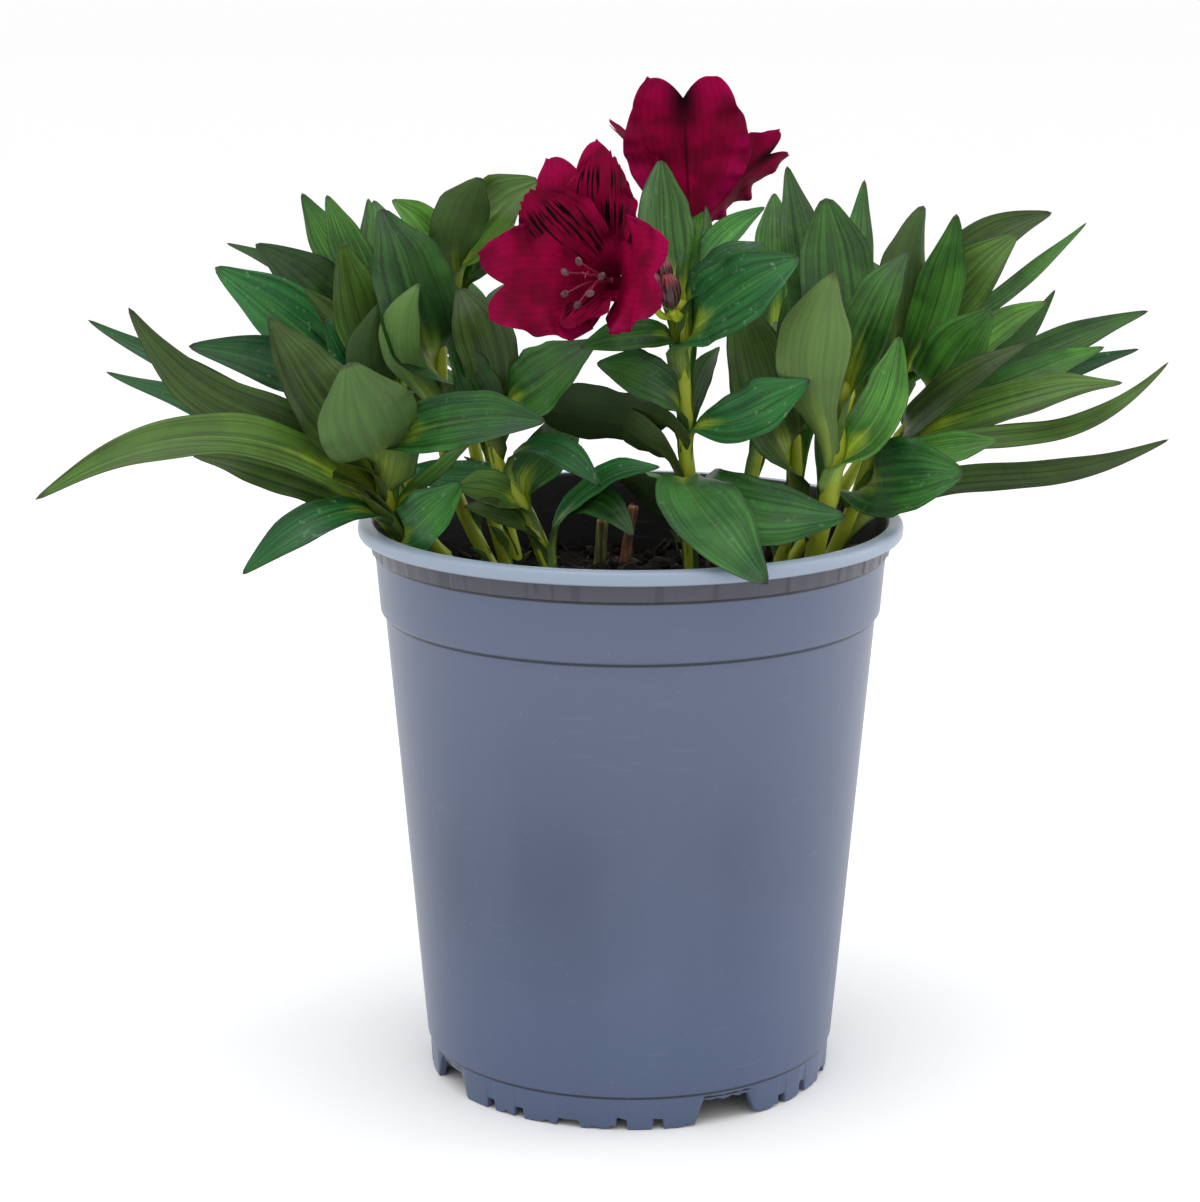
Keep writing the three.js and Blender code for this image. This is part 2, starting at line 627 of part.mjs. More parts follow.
// The pot's wall, turned round its axis: under the floor, down and up the foot, up the outside,
// over the lip, down the inside and across the floor
function potSolid() {
  const foot = FOOT_RADIUS - FOOT_INSET;
  const lipUnder = POT_HEIGHT - LIP_HEIGHT;
  const neck = RIM_RADIUS - LIP_DEPTH;
  const profile = [
    [0, FOOT_HEIGHT - FLOOR],
    [foot - FOOT_WALL, FOOT_HEIGHT - FLOOR],
    [foot - FOOT_WALL - FOOT_TAPER, 0],
    [foot - FOOT_TAPER, 0],
    [foot, FOOT_HEIGHT],
    [FOOT_RADIUS, FOOT_HEIGHT + FOOT_INSET],
    [STEP_RADIUS, STEP_HEIGHT],
    [STEP_RADIUS + STEP_OUT, STEP_HEIGHT + STEP_RISE],
    [BAND_RADIUS, BAND_HEIGHT],
    [neck, lipUnder],
    [RIM_RADIUS - LIP_ROUND, lipUnder],
    [RIM_RADIUS, lipUnder + LIP_ROUND],
    [RIM_RADIUS, POT_HEIGHT - LIP_ROUND],
    [RIM_RADIUS - LIP_ROUND, POT_HEIGHT],
    [neck, POT_HEIGHT],
    [neck - WALL, POT_HEIGHT - LIP_ROUND],
    [BAND_RADIUS - WALL, BAND_HEIGHT],
    [STEP_RADIUS - WALL, STEP_HEIGHT],
    [FOOT_RADIUS - WALL, FOOT_HEIGHT],
    [0, FOOT_HEIGHT],
  ];
  const outline = profile.map(([r, z]) => new THREE.Vector2(r, z));
  const shell = new THREE.LatheGeometry(outline, POT_SIDES);
  shell.rotateX(Math.PI / 2);
  let pot = solidOf(shell);
  for (let i = 0; i < NOTCH_GROUPS; i++) {
    for (const [turn, width, height] of NOTCHES) {
      pot = pot.subtract(notchSolid(NOTCH_START + (360 / NOTCH_GROUPS) * i + turn, width, height));
    }
  }
  for (let i = 0; i < DRAIN_HOLES; i++) {
    const turn = (2 * Math.PI * i) / DRAIN_HOLES;
    const hole = new THREE.CylinderGeometry(DRAIN_RADIUS, DRAIN_RADIUS, 4 * FLOOR, 8);
    hole.rotateX(Math.PI / 2);
    hole.translate(DRAIN_CIRCLE * Math.cos(turn), DRAIN_CIRCLE * Math.sin(turn), FOOT_HEIGHT);
    pot = pot.subtract(solidOf(hole));
  }
  return pot;
}

// The height of the soil's lumps over a place in the pot
function lumpAt(x, y) {
  return SOIL_LUMP * (Math.sin(0.31 * x + 1.2) * Math.sin(0.27 * y) + Math.sin(0.13 * (x - y)));
}

// The soil, with a lumpy top and a hole for each stem and stub
function soilSolid() {
  const low = FOOT_HEIGHT + CLEAR;
  const profile = [
    [0, low],
    [FOOT_RADIUS - WALL - CLEAR, low],
    [SOIL_RADIUS, STEP_HEIGHT],
    [SOIL_RADIUS - 1, SOIL_TOP - 2],
    [SOIL_RADIUS - SOIL_SHOULDER, SOIL_TOP],
    [SOIL_RADIUS * 0.6, SOIL_TOP],
    [SOIL_RADIUS * 0.25, SOIL_TOP],
    [0, SOIL_TOP],
  ];
  const outline = profile.map(([r, z]) => new THREE.Vector2(r, z));
  const body = new THREE.LatheGeometry(outline, SOIL_SIDES);
  body.rotateX(Math.PI / 2);
  const position = body.attributes.position;
  for (let i = 0; i < position.count; i++) {
    if (position.getZ(i) < SOIL_TOP - 0.5) continue;
    position.setZ(i, SOIL_TOP + lumpAt(position.getX(i), position.getY(i)));
  }
  let soil = solidOf(body);
  const stems = Object.values(SHOOTS).map((shoot) => [shoot.path, shoot.radius[0]]);
  const stubs = Object.values(STUBS).map((stub) => [stub.path, stub.radius]);
  for (const [path, radius] of [...stems, ...stubs]) {
    const foot = vec(path[0]);
    const along = vec(path[1]).sub(foot).normalize();
    const wide = radius + HOLE_CLEAR;
    const hole = new THREE.CylinderGeometry(wide, wide, HOLE_DEPTH, 6);
    hole.translate(0, HOLE_DEPTH / 2 - CLEAR, 0);
    hole.applyQuaternion(turnTo(along));
    hole.translate(foot.x, foot.y, foot.z);
    soil = soil.subtract(solidOf(hole));
  }
  return soil;
}

const plant = new THREE.Group();
plant.add(meshOf("pot", potSolid(), COLOURS.pot, 0.45));
plant.add(meshOf("potting_soil", soilSolid(), COLOURS.soil, 0.95));
const draw = drawsFrom(SEED);
for (const [name, shoot] of Object.entries(SHOOTS)) {
  let solid = shootSolid(shoot, draw);
  if (name === "flowering_stem") {
    for (const stalk of stalkSolids()) solid = solid.add(stalk);
  }
  plant.add(meshOf(name, solid, COLOURS.leaf, 0.5));
}
for (const [name, bloom] of Object.entries(BLOOMS)) {
  plant.add(meshOf(name + "_tepals", bloomSolid(bloom), COLOURS.crimson, 0.55));
  plant.add(meshOf(name + "_stamens", stamenSolid(bloom), COLOURS.stamen, 0.6));
}
plant.add(meshOf("flower_buds", budSolid(), COLOURS.bud, 0.45));
for (const [name, stub] of Object.entries(STUBS)) {
  const solid = stemSolid(stub.path, stub.radius, stub.radius * 0.9, STEM_SIDES, STEM_STEPS);
  plant.add(meshOf(name, solid, COLOURS.stub, 0.8));
}

export default plant;
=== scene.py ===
"""The potted peruvian lily, built round its packed solids: a thin nursery pot, lumpy potting soil,
leafy shoots with veined leaves, two crimson blooms with stamens, a knot of buds and two cut stubs.
Sizes are written in millimetres and become metres as a mesh is made."""

import bpy
import mathutils
import numpy as np
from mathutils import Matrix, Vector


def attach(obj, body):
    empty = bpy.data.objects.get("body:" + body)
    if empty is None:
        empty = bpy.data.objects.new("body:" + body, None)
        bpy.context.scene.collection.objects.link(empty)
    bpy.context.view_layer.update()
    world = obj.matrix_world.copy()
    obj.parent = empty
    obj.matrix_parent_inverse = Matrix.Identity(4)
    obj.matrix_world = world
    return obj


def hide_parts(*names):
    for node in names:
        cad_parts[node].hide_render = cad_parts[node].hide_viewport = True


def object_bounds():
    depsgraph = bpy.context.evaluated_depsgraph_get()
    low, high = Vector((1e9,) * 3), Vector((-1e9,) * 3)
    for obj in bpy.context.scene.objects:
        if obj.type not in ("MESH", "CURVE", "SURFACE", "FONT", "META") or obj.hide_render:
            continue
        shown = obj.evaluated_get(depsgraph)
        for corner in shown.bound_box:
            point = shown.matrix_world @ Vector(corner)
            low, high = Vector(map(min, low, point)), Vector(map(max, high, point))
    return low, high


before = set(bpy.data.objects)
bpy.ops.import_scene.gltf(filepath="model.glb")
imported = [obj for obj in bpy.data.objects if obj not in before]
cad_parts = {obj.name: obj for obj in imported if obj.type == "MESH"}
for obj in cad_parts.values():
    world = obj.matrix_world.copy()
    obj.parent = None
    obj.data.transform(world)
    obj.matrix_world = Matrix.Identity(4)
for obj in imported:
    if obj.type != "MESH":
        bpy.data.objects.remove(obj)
SOLIDS_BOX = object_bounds()

bl_info = {
    "name": "Potted peruvian lily",
    "version": (1, 0, 0),
    "blender": (4, 5, 0),
    "location": "3D View > Sidebar > Lily",
    "description": "Builds a peruvian lily in its nursery pot",
    "category": "Object",
}

MM = 0.001

# The pot
POT_HEIGHT = 176
RIM_RADIUS = 84
LIP_HEIGHT = 4.4
LIP_DEPTH = 3.6
WALL = 1.4
STEP_HEIGHT = 147.3
STEP_RADIUS = 76
BAND_HEIGHT = 166
BAND_RADIUS = 78.9
FOOT_HEIGHT = 10.4
FOOT_RADIUS = 64.4
FOOT_INSET = 0.7
FOOT_WALL = 2.2
FOOT_TAPER = 0.6
FOOT_LINE = 1.5
FLOOR = 1.6
DRAIN_HOLES = 8
DRAIN_RADIUS = 5
DRAIN_CIRCLE = 50
FLOOR_CORE = 12
RIBS = 72
RIB_DEPTH = 0.28
WALL_SWAY = 0.12
CHIP_HEIGHT = 1.6
PROFILE_STEP = 5
# The notches in the foot come in groups. Each is a turn in degrees, a width and a height
NOTCH_START = -62
NOTCH_GROUPS = 4
NOTCHES = [(0, 22, 7.5), (20, 4, 3.2), (30, 4, 3.2), (45, 9, 2.2), (60, 4, 3.2), (70, 4, 3.2)]

# The soil
SOIL_TOP = 152
SOIL_RADIUS = 74.1
SOIL_COLUMNS = 220
SOIL_RINGS = 90
SOIL_SHOULDER = 8
SOIL_LUMP = 1.3
SHOULDER_DROP = 2.5
STEM_GAP = 4.2
CRUMB_SIZE = (1.2, 2.6)
CRUMB_FORM = (0.9, 0.8, 0.7)
CHIP_FORM = (2.4, 0.9, 0.45)
CHIP_SHARE = 0.22
ROOTS = 60
ROOT_RADIUS = (0.18, 0.42)
ROOT_STEP = (2, 4)

# Blades: where each form is widest, how keen its ends are, and the shares of its width that it
# keeps at its foot and its tip
FORMS = {
    "lance": (0.5, 1.2, 0.13, 0.03),
    "strap": (0.42, 1.05, 0.18, 0.03),
    "oval": (0.5, 0.95, 0.12, 0.03),
    "stalked": (0.64, 1.8, 0.12, 0.03),
    "heart": (0.7, 1.2, 0.1, 0.85),
    "spoon": (0.7, 1.15, 0.1, 0.6),
}
# A pointed blade's last ring, and how a leaf's foot clasps its stem: the length and the share of
# the leaf that it takes at most, and its depth, width and trough there against the stem's radius
POINT_START = 0.985
CLASP_LENGTH = 16
CLASP_SHARE = 0.24
CLASP_DEPTH = 0.72
CLASP_WIDTH = 0.95
CLASP_TROUGH = 0.75
ROLL_END = 0.26
LEAF_TROUGH = 0.22
TEPAL_TROUGH = 0.16
BACK_REACH = 91
ROW_LENGTH = 2.1
WIDE_LEAF = 12
NODE_SWELL = 0.09
NODE_SPREAD = 0.025
SCALE_WIDTH = 5.5
SCALE_LENGTH = (9, 14)
SCALE_OUT = (3.5, 6)
# The turn from one far leaf to the next, as a share of their sector
GOLDEN = 0.618

# The random draws: the first state, factor and modulus of the far leaves' row of draws, and the
# seeds of the other pieces
FIRST_STATE = 20417
FACTOR = 16807
MODULUS = 2**31 - 1
SEEDS = {"crumbs": 31, "roots": 32, "tepals": 40, "stamens": 60, "stubs": 80, "scales": 7000}

# The looks that a leaf can have: how blue its green is, how light, and how olive
TONES = {
    "g": (0.1, 1.0, 0.1),
    "t": (0.9, 0.95, 0.0),
    "e": (0.45, 1.12, 0.0),
    "o": (0.0, 0.95, 0.75),
    "d": (0.35, 0.7, 0.1),
    "l": (0.3, 1.35, 0.3),
    "y": (0.0, 1.3, 0.35),
}

# The shoots. A leaf is the share of the stem where it leaves, its tip, width, bow, sway, roll and
# form, and for some a swing. Tones has one letter for each leaf. More is the number of leaves on
# the far sides, the sector that they fan over and their length.
SHOOTS = {
    "left_front_shoot": {
        "tones": "ooooleyet",
        "path": [[-58, -14, 142], [-61, -15, 152], [-70, -18, 172], [-74, -22, 187], [-73, -26, 204]],
        "radius": [2.8, 2.2],
        "leaves": [
            [0.59, [-171, -68, 195], 15, 22, 5, -50, "strap"],
            [0.62, [-131, -26, 201], 18, 3, -1, -55, "lance"],
            [0.72, [-145, -42, 246], 18, -5, 2, -60, "strap", 4],
            [0.88, [-106, -28, 242], 23, -3, 4, -60, "lance"],
            [0.93, [-82, -46, 230], 31, -8, 5, 40, "oval"],
            [0.99, [-25, -55, 215], 18, 3, -3, 65, "lance"],
            [0.67, [-48, -22, 204], 7, -1, -3, 40, "strap"],
            [0.52, [-50, -36, 193], 18, -4, -6, 85, "oval"],
            [0.64, [-114, -50, 168], 12, 9, 6, -40, "lance"],
        ],
        "more": [1, 95, 120, 40],
    },
    "left_back_shoot": {
        "tones": "tgggggtttotoe",
        "path": [[-50, 13, 142], [-52, 13, 152], [-67, 14, 172], [-71, 16, 197], [-73, 18, 231]],
        "radius": [2.6, 1.9],
        "leaves": [
            [0.8, [-126, 2, 253], 24, 1, 0, -60, "lance"],
            [0.87, [-115, 16, 259], 22, 2, -2, -60, "lance"],
            [0.97, [-126, 26, 258], 7, 2, -4, -50, "lance"],
            [0.98, [-104, 38, 272], 14, -3, -3, -55, "lance"],
            [0.99, [-94, 22, 273], 13, -1, 2, -55, "lance"],
            [0.99, [-84, 46, 270], 11, -1, 0, -40, "lance"],
            [0.66, [-159, -4, 223], 10, -3, 1, -50, "stalked"],
            [0.72, [-168, 14, 236], 8, -4, 1, -50, "stalked"],
            [0.75, [-133, -12, 231], 16, 5, 4, -60, "stalked"],
            [0.82, [-98, 0, 247], 17, -1, 1, -60, "lance"],
            [0.78, [-92, -8, 238], 16, -4, 4, -100, "lance"],
            [0.89, [-86, -8, 261], 21, -8, 2, -110, "oval"],
            [0.85, [-75, -18, 245], 13, -7, -6, 20, "lance"],
        ],
        "more": [2, 100, 130, 50],
    },
    "left_centre_shoot": {
        "tones": "dl",
        "path": [[-38, -3, 142], [-39, -3, 152], [-53, 0, 181], [-58, 2, 203], [-58, 3, 229]],
        "radius": [2.4, 1.8],
        "leaves": [
            [0.91, [-73, -8, 272], 29, -4, 5, -90, "oval"],
            [0.84, [-62, -26, 252], 13, -4, -9, 0, "lance"],
        ],
        "more": [1, 10, 40, 28],
    },
    "upper_left_shoot": {
        "tones": "ygod",
        "path": [[-38, 26, 142], [-39, 27, 152], [-50, 28, 195], [-54, 26, 227], [-55, 24, 249]],
        "radius": [2.3, 1.7],
        "leaves": [
            [0.95, [-73, 18, 272], 16, 2, 0, -60, "lance"],
            [0.99, [-46, 14, 279], 18, 0, -3, -30, "oval"],
            [0.99, [-29, 16, 278], 22, 3, 0, 60, "oval"],
            [0.93, [-32, 34, 262], 11, 2, 2, 60, "lance"],
        ],
        "more": [4, 60, 150, 45],
    },
    "small_front_shoot": {
        "tones": "oddttoodtd",
        "path": [[-19, -24, 142], [-21, -24, 152], [-30, -22, 179], [-40, -20, 196], [-41, -18, 213]],
        "radius": [2.4, 1.8],
        "leaves": [
            [0.97, [-51, -18, 249], 19, 3, 4, -65, "oval"],
            [0.9, [-54, -26, 234], 15, 0, 3, -80, "lance"],
            [0.99, [-11, -30, 236], 23, -3, -5, 60, "lance"],
            [0.74, [-9, -40, 193], 10, 9, -2, 40, "stalked"],
            [0.72, [-71, -4, 192], 10, -3, -4, -60, "lance"],
            [0.56, [-52, -32, 191], 12, 2, 1, -60, "lance"],
            [0.45, [-49, -36, 186], 9, 2, 1, -50, "lance"],
            [0.42, [1, -44, 179], 12, 12, 2, 45, "stalked"],
            [0.42, [8, -38, 200], 14, 5, -2, 35, "stalked"],
            [0.62, [-15, 3, 207], 15, 1, 0, 70, "lance"],
        ],
        "more": [1, 80, 100, 28],
    },
    "flowering_stem": {
        "tones": "deetdotdletdd",
        "path": [[19, -16, 142], [19, -17, 152], [17, -20, 192], [16, -22, 216], [15, -24, 246]],
        "radius": [2.5, 1.9],
        "leaves": [
            [0.69, [-34, -16, 216], 21, -4, -3, 60, "lance"],
            [0.51, [38, -88, 175], 24, 8, -10, 10, "stalked"],
            [0.5, [63, -46, 186], 22, -4, -11, 60, "oval"],
            [0.68, [51, -46, 226], 18, -5, -4, 70, "stalked"],
            [0.71, [-10, -34, 229], 17, 2, 7, -60, "stalked"],
            [0.53, [-8, -8, 213], 15, 0, 5, 60, "lance"],
            [0.91, [48, -46, 261], 23, 0, -5, 75, "lance"],
            [0.91, [-15, -38, 234], 11, 2, 3, -50, "lance"],
            [0.99, [10, -14, 286], 19, -3, 2, 0, "oval"],
            [0.99, [40, -10, 272], 9, 3, 3, 50, "lance"],
            [0.99, [39, -30, 264], 11, 2, -3, 50, "lance"],
            [0.98, [23, 0, 272], 7, -6, -1, 50, "lance"],
            [0.4, [-3, -30, 194], 11, 2, -2, 50, "oval"],
        ],
        "more": [3, 60, 120, 36],
    },
    "right_front_shoot": {
        "tones": "golgggg",
        "path": [[50, -26, 142], [52, -27, 152], [56, -30, 175], [60, -31, 193], [63, -33, 223]],
        "radius": [3.2, 2.6],
        "leaves": [
            [0.99, [80, -32, 262], 16, 2, -5, 60, "strap"],
            [0.84, [59, -44, 256], 23, -8, -7, -10, "stalked"],
            [0.82, [77, -46, 238], 15, -7, -1, 100, "oval"],
            [0.98, [58, -12, 275], 24, -1, -1, 0, "oval"],
            [0.97, [48, 2, 284], 15, -3, 1, -15, "lance"],
            [0.98, [71, 10, 279], 11, -7, 1, 15, "lance"],
            [0.96, [48, -14, 249], 14, 1, -2, -20, "oval"],
        ],
        "more": [1, 85, 100, 30],
    },
    "right_low_shoot": {
        "tones": "eoog",
        "path": [[54, -8, 142], [56, -8, 152], [65, -11, 174], [70, -12, 188], [77, -12, 210]],
        "radius": [2.5, 1.9],
        "leaves": [
            [0.77, [97, -44, 198], 24, 0, -6, 75, "oval"],
            [0.49, [170, 25, 197], 10, 1, 6, 50, "strap", 4],
            [0.82, [165, 8, 224], 8, -8, 3, 50, "strap", 4],
            [0.84, [110, -22, 204], 11, 0, -2, 60, "lance"],
        ],
    },
    "right_middle_shoot": {
        "tones": "ooggtgyg",
        "path": [[58, 14, 142], [60, 14, 152], [75, 16, 181], [84, 18, 197], [93, 18, 210]],
        "radius": [2.5, 1.9],
        "leaves": [
            [0.76, [150, 0, 220], 13, 2, -4, 60, "lance"],
            [0.75, [119, -14, 233], 11, -1, -12, 80, "lance"],
            [0.88, [147, 16, 228], 11, 0, -3, 60, "lance"],
            [0.91, [162, 28, 237], 11, 1, 2, 60, "lance"],
            [0.89, [162, 40, 224], 8, -1, 2, 60, "lance"],
            [0.96, [136, 46, 241], 8, -7, 3, 60, "lance"],
            [0.97, [127, 10, 242], 12, 3, 1, 60, "lance"],
            [0.96, [108, -8, 241], 22, -3, -5, 105, "oval"],
        ],
    },
    "right_back_shoot": {
        "tones": "googl",
        "path": [[50, 38, 142], [51, 38, 152], [72, 38, 184], [82, 38, 203], [88, 38, 224]],
        "radius": [2.4, 1.8],
        "leaves": [
            [0.99, [146, 60, 262], 6, -6, 4, 60, "lance"],
            [0.95, [132, 36, 267], 16, 9, -1, 60, "lance"],
            [0.86, [120, 30, 261], 21, 2, -2, 60, "lance"],
            [0.81, [100, 22, 267], 17, -5, 0, 100, "lance"],
            [0.91, [91, 32, 269], 19, 1, -3, 0, "oval"],
        ],
        "more": [4, 30, 120, 48],
    },
    "centre_right_shoot": {
        "tones": "o",
        "path": [[44, 8, 142], [45, 8, 152], [51, 8, 180], [51, 6, 199], [49, 4, 212]],
        "radius": [2.3, 1.7],
        "leaves": [
            [0.61, [32, -10, 247], 22, -5, 3, -110, "lance"],
        ],
        "more": [3, 60, 130, 36],
    },
    "back_left_shoot": {
        "tones": "",
        "path": [[-36, 46, 142], [-37, 47, 152], [-45, 54, 185], [-49, 59, 222]],
        "radius": [2.3, 1.7],
        "leaves": [],
        "more": [7, 40, 200, 44],
    },
    "back_right_shoot": {
        "tones": "",
        "path": [[32, 48, 142], [33, 49, 152], [42, 56, 188], [48, 60, 224]],
        "radius": [2.3, 1.7],
        "leaves": [],
        "more": [7, -20, 140, 44],
    },
    "young_back_sprout": {
        "tones": "",
        "path": [[17, 60, 142], [17, 60, 152], [17, 62, 160], [16, 64, 167]],
        "radius": [1.9, 1.4],
        "leaves": [],
        "more": [4, 20, 160, 16],
    },
}

# The blooms: the heart that the tepals grow from, the way the bloom faces, and its tepals as tip,
# width, bow, sway, roll and form
BLOOMS = {
    "front_bloom": {
        "heart": [-4, -35, 252],
        "facing": [-0.45, -0.85, 0.28],
        "tepals": [
            [[-42, -54, 253], 36, 4, 0, 0, "heart"],
            [[-17, -29, 290], 31, 4, 0, 0, "heart"],
            [[10, -60, 257], 34, 5, 0, 0, "heart"],
            [[-30, -45, 280], 21, 4, 0, 0, "spoon"],
            [[-8, -42, 292], 19, 5, 0, 0, "spoon"],
            [[-19, -57, 241], 14, 3, 0, 0, "spoon"],
        ],
    },
    "rear_bloom": {
        "heart": [18, 2, 264],
        "facing": [0.05, 0.7, 0.7],
        "tepals": [
            [[15, -5, 310], 38, 1, 0, 0, "heart"],
            [[-7, 15, 295], 24, 3, 0, -40, "heart"],
            [[47, 14, 289], 26, 3, 0, 8, "heart"],
            [[6, 16, 300], 17, 3, 0, 0, "spoon"],
            [[32, 16, 298], 17, 3, 0, 0, "spoon"],
            [[20, 44, 264], 15, 3, 0, 0, "spoon"],
        ],
    },
}
HEART_RADIUS = 2.3
ROOT_OUT = 1.9
SPOON_FLARE = 1.2
OVARY_RADIUS = 2.6
OVARY_STRETCH = 1.3
STALK_RADIUS = 1.1
STAMENS = 6
STAMEN_LENGTH = 20
STAMEN_FAN = 6
STAMEN_DROOP = 4.5
HEAD_RADIUS = 0.85
HEAD_STRETCH = 1.6
STYLE_LENGTH = 15
KNOB_RADIUS = 1.2
CLEAR = 0.35

# The buds, each as middle, radius and stretch, and the stubs, each as path and radius
BUDS = [([6, -40, 251], 3.5, 1.6), ([11, -38, 250], 3.6, 1.6), ([9, -36, 255], 3.2, 1.6)]
BUD_POINT = (-0.15, -0.2, 0.97)
STUBS = {
    "olive_cut_stub": ([[-10, 42, 144], [-10, 42, 152], [-9, 41, 168]], 2.0),
    "brown_cut_stub": ([[-2, 45, 144], [-2, 45, 152], [1, 44, 172]], 1.7),
}
SPLINTERS = 5

# The gap to a margin that is marked where there is none near
FAR = 9
UP = np.array([0.0, 0.0, 1.0])


# ---------------------------------------------------------------- shapes


def unit(v):
    """Vectors scaled to length one."""
    return v / np.maximum(np.linalg.norm(v, axis=-1, keepdims=True), 1e-9)


def ease(x, low, high):
    """A smooth rise from 0 at low to 1 at high: 3s^2 - 2s^3 of the share s of the way between."""
    s = np.clip((np.asarray(x, float) - low) / (high - low), 0, 1)
    return s * s * (3 - 2 * s)


def bell(x, middle, width):
    """A hump of height 1 round a middle: exp(-((x - middle) / width)^2)."""
    return np.exp(-(((x - middle) / width) ** 2))


def lumps(p, size, seed, layers):
    """Soft lumps in space from -1 to 1: sums of sines of the place, each along its own seeded
    direction, with half the height and about twice the pace in each further layer."""
    draw = np.random.default_rng(seed)
    total = np.zeros(p.shape[:-1])
    for layer in range(layers):
        waves = draw.normal(size=(5, 3)) * 2 * np.pi / size * 2.1**layer / 1.7
        starts = draw.uniform(0, 2 * np.pi, 5)
        total += np.sin(p @ waves.T + starts).sum(axis=-1) * 0.5**layer / 4
    return total


def polar(radius, turn, *rest):
    """Places at a radius and a turn in radians, with any further coordinates after them."""
    places = np.broadcast_arrays(radius * np.cos(turn), radius * np.sin(turn), *rest)
    return np.stack(places, axis=-1)


def along_path(path, shares):
    """Points and directions at shares of the smooth curve through a path's points: on each stretch
    the cubic through its two ends whose slope at a point is half the step between that point's
    neighbours. The path is continued straight past its ends."""
    p = np.asarray(path, float)
    p = np.vstack([2 * p[0] - p[1], p, 2 * p[-1] - p[-2]])
    s = np.clip(np.asarray(shares, float), 0, 1) * (len(path) - 1)
    i = np.minimum(s.astype(int), len(path) - 2)
    w = (s - i)[..., None]
    a, b, c, d = p[i], p[i + 1], p[i + 2], p[i + 3]
    bend, turn = 2 * a - 5 * b + 4 * c - d, 3 * b - a - 3 * c + d
    point = 0.5 * (2 * b + (c - a) * w + bend * w**2 + turn * w**3)
    return point, unit(c - a + 2 * bend * w + 3 * turn * w**2)


def shell(rings, marks=None, tip=None, lips=False, loop=False):
    """A closed skin over rings of points, as points, quads, triangles and marks. Each ring is
    joined to the next by quads. The first is closed by a fan on its middle, and the last by a fan
    on the tip or on its middle, or for lips by joining its upper line to its lower line. A loop
    joins the last ring to the first instead. Marks are values at the points, by name."""
    rows, count = rings.shape[:2]
    ring = np.arange(count)
    after = (ring + 1) % count
    row = np.arange(rows if loop else rows - 1)[:, None] * count
    beyond = (row + count) % (rows * count)
    quads = np.stack([row + ring, row + after, beyond + after, beyond + ring], axis=-1)
    quads = quads.reshape(-1, 4)
    marks = {name: np.broadcast_to(v, rings.shape[:2] + (3,)) for name, v in (marks or {}).items()}
    if loop:
        flat = {name: value.reshape(-1, 3) for name, value in marks.items()}
        return rings.reshape(-1, 3), quads, np.zeros((0, 3), int), flat
    end = rings[-1].mean(axis=0) if tip is None else np.asarray(tip, float)
    ends = np.stack([rings[0].mean(axis=0), end])
    last = (rows - 1) * count
    fans = [np.stack([after, ring, np.full(count, rows * count)], axis=-1)]
    if lips:
        ends = ends[:1]
        mid = count // 2
        i = np.arange(1, mid - 1)
        strip = np.stack([i - 1, i, count - 2 - i, count - 1 - i], axis=-1) + last
        quads = np.vstack([quads, strip])
        corners = [[mid - 2, mid - 1, mid], [0, count - 2, count - 1]]
        fans.append(np.array(corners) + last)
    else:
        fans.append(np.stack([ring, after, np.full(count, count + 1)], axis=-1) + last)
    full = {}
    for name, value in marks.items():
        means = np.stack([value[0].mean(axis=0), value[-1].mean(axis=0)])[: len(ends)]
        full[name] = np.vstack([value.reshape(-1, 3), means])
    return np.vstack([rings.reshape(-1, 3), ends]), quads, np.vstack(fans), full


def round_skin(rings, turn, share, run, tone):
    """The closed skin over round rings. Its marks give the turn as u, the share of the way as t,
    the run in millimetres, and a margin that is far off."""
    blade, span = np.zeros(rings.shape), np.zeros(rings.shape)
    blade[..., 0], blade[..., 1] = turn / np.pi - 1, share
    span[..., 0], span[..., 1] = FAR, run
    return shell(rings, {"blade": blade, "span": span, "tone": np.array(tone, float)})


def tube(path, radii, sides, rows, tone=(0, 0, 0), round_end=True, ridge=0.0, ridges=7):
    """A round skin along a path. Radii are pairs of a share of the way and a radius there, ridge is
    the height of its lengthwise ribs, and a round end closes as a dome: over its last rows the
    radius falls as the square root of 1 - s^2."""
    share = np.linspace(0, 1, rows)
    if round_end:
        share = 1 - (1 - share) ** 1.6
    middle, along = along_path(path, share)
    length = np.linalg.norm(np.diff(middle, axis=0), axis=1).sum()
    side = unit(np.cross([0.0, 1.0, 0.0], along))
    front = np.cross(along, side)
    radius = np.interp(share, [r[0] for r in radii], [r[1] for r in radii])
    if round_end:
        rise = np.clip(1 - (1 - share) * length / radius[-1], 0, 0.98)
        radius = radius * np.sqrt(1 - rise**2)
    turn = np.arange(sides) * 2 * np.pi / sides
    radius = radius[:, None] * (1 + ridge * np.cos(ridges * turn))
    out = side[:, None] * np.cos(turn)[:, None] + front[:, None] * np.sin(turn)[:, None]
    rings = middle[:, None] + radius[..., None] * out
    share = share[:, None]
    return round_skin(rings, turn, share, share * length, tone)


def spread(form, t):
    """The half width of a form at a share t of its length, as a share of its widest half: the
    smooth greatest of ((t/w)^w ((1-t)/(1-w))^(1-w))^keen, foot (1-t)^2 and tip t. A pointed form
    draws in towards its tip by up to a third."""
    widest, keen, foot, tip = FORMS[form]
    rise = (t / widest) ** widest * ((1 - t) / (1 - widest)) ** (1 - widest)
    kinds = np.stack([rise**keen, foot * (1 - t) ** 2, tip * t])
    half = (kinds**5).sum(axis=0) ** 0.2
    return half if form in ("heart", "spoon") else half * (1 - 0.34 * ease(t, 0.7, 0.98))


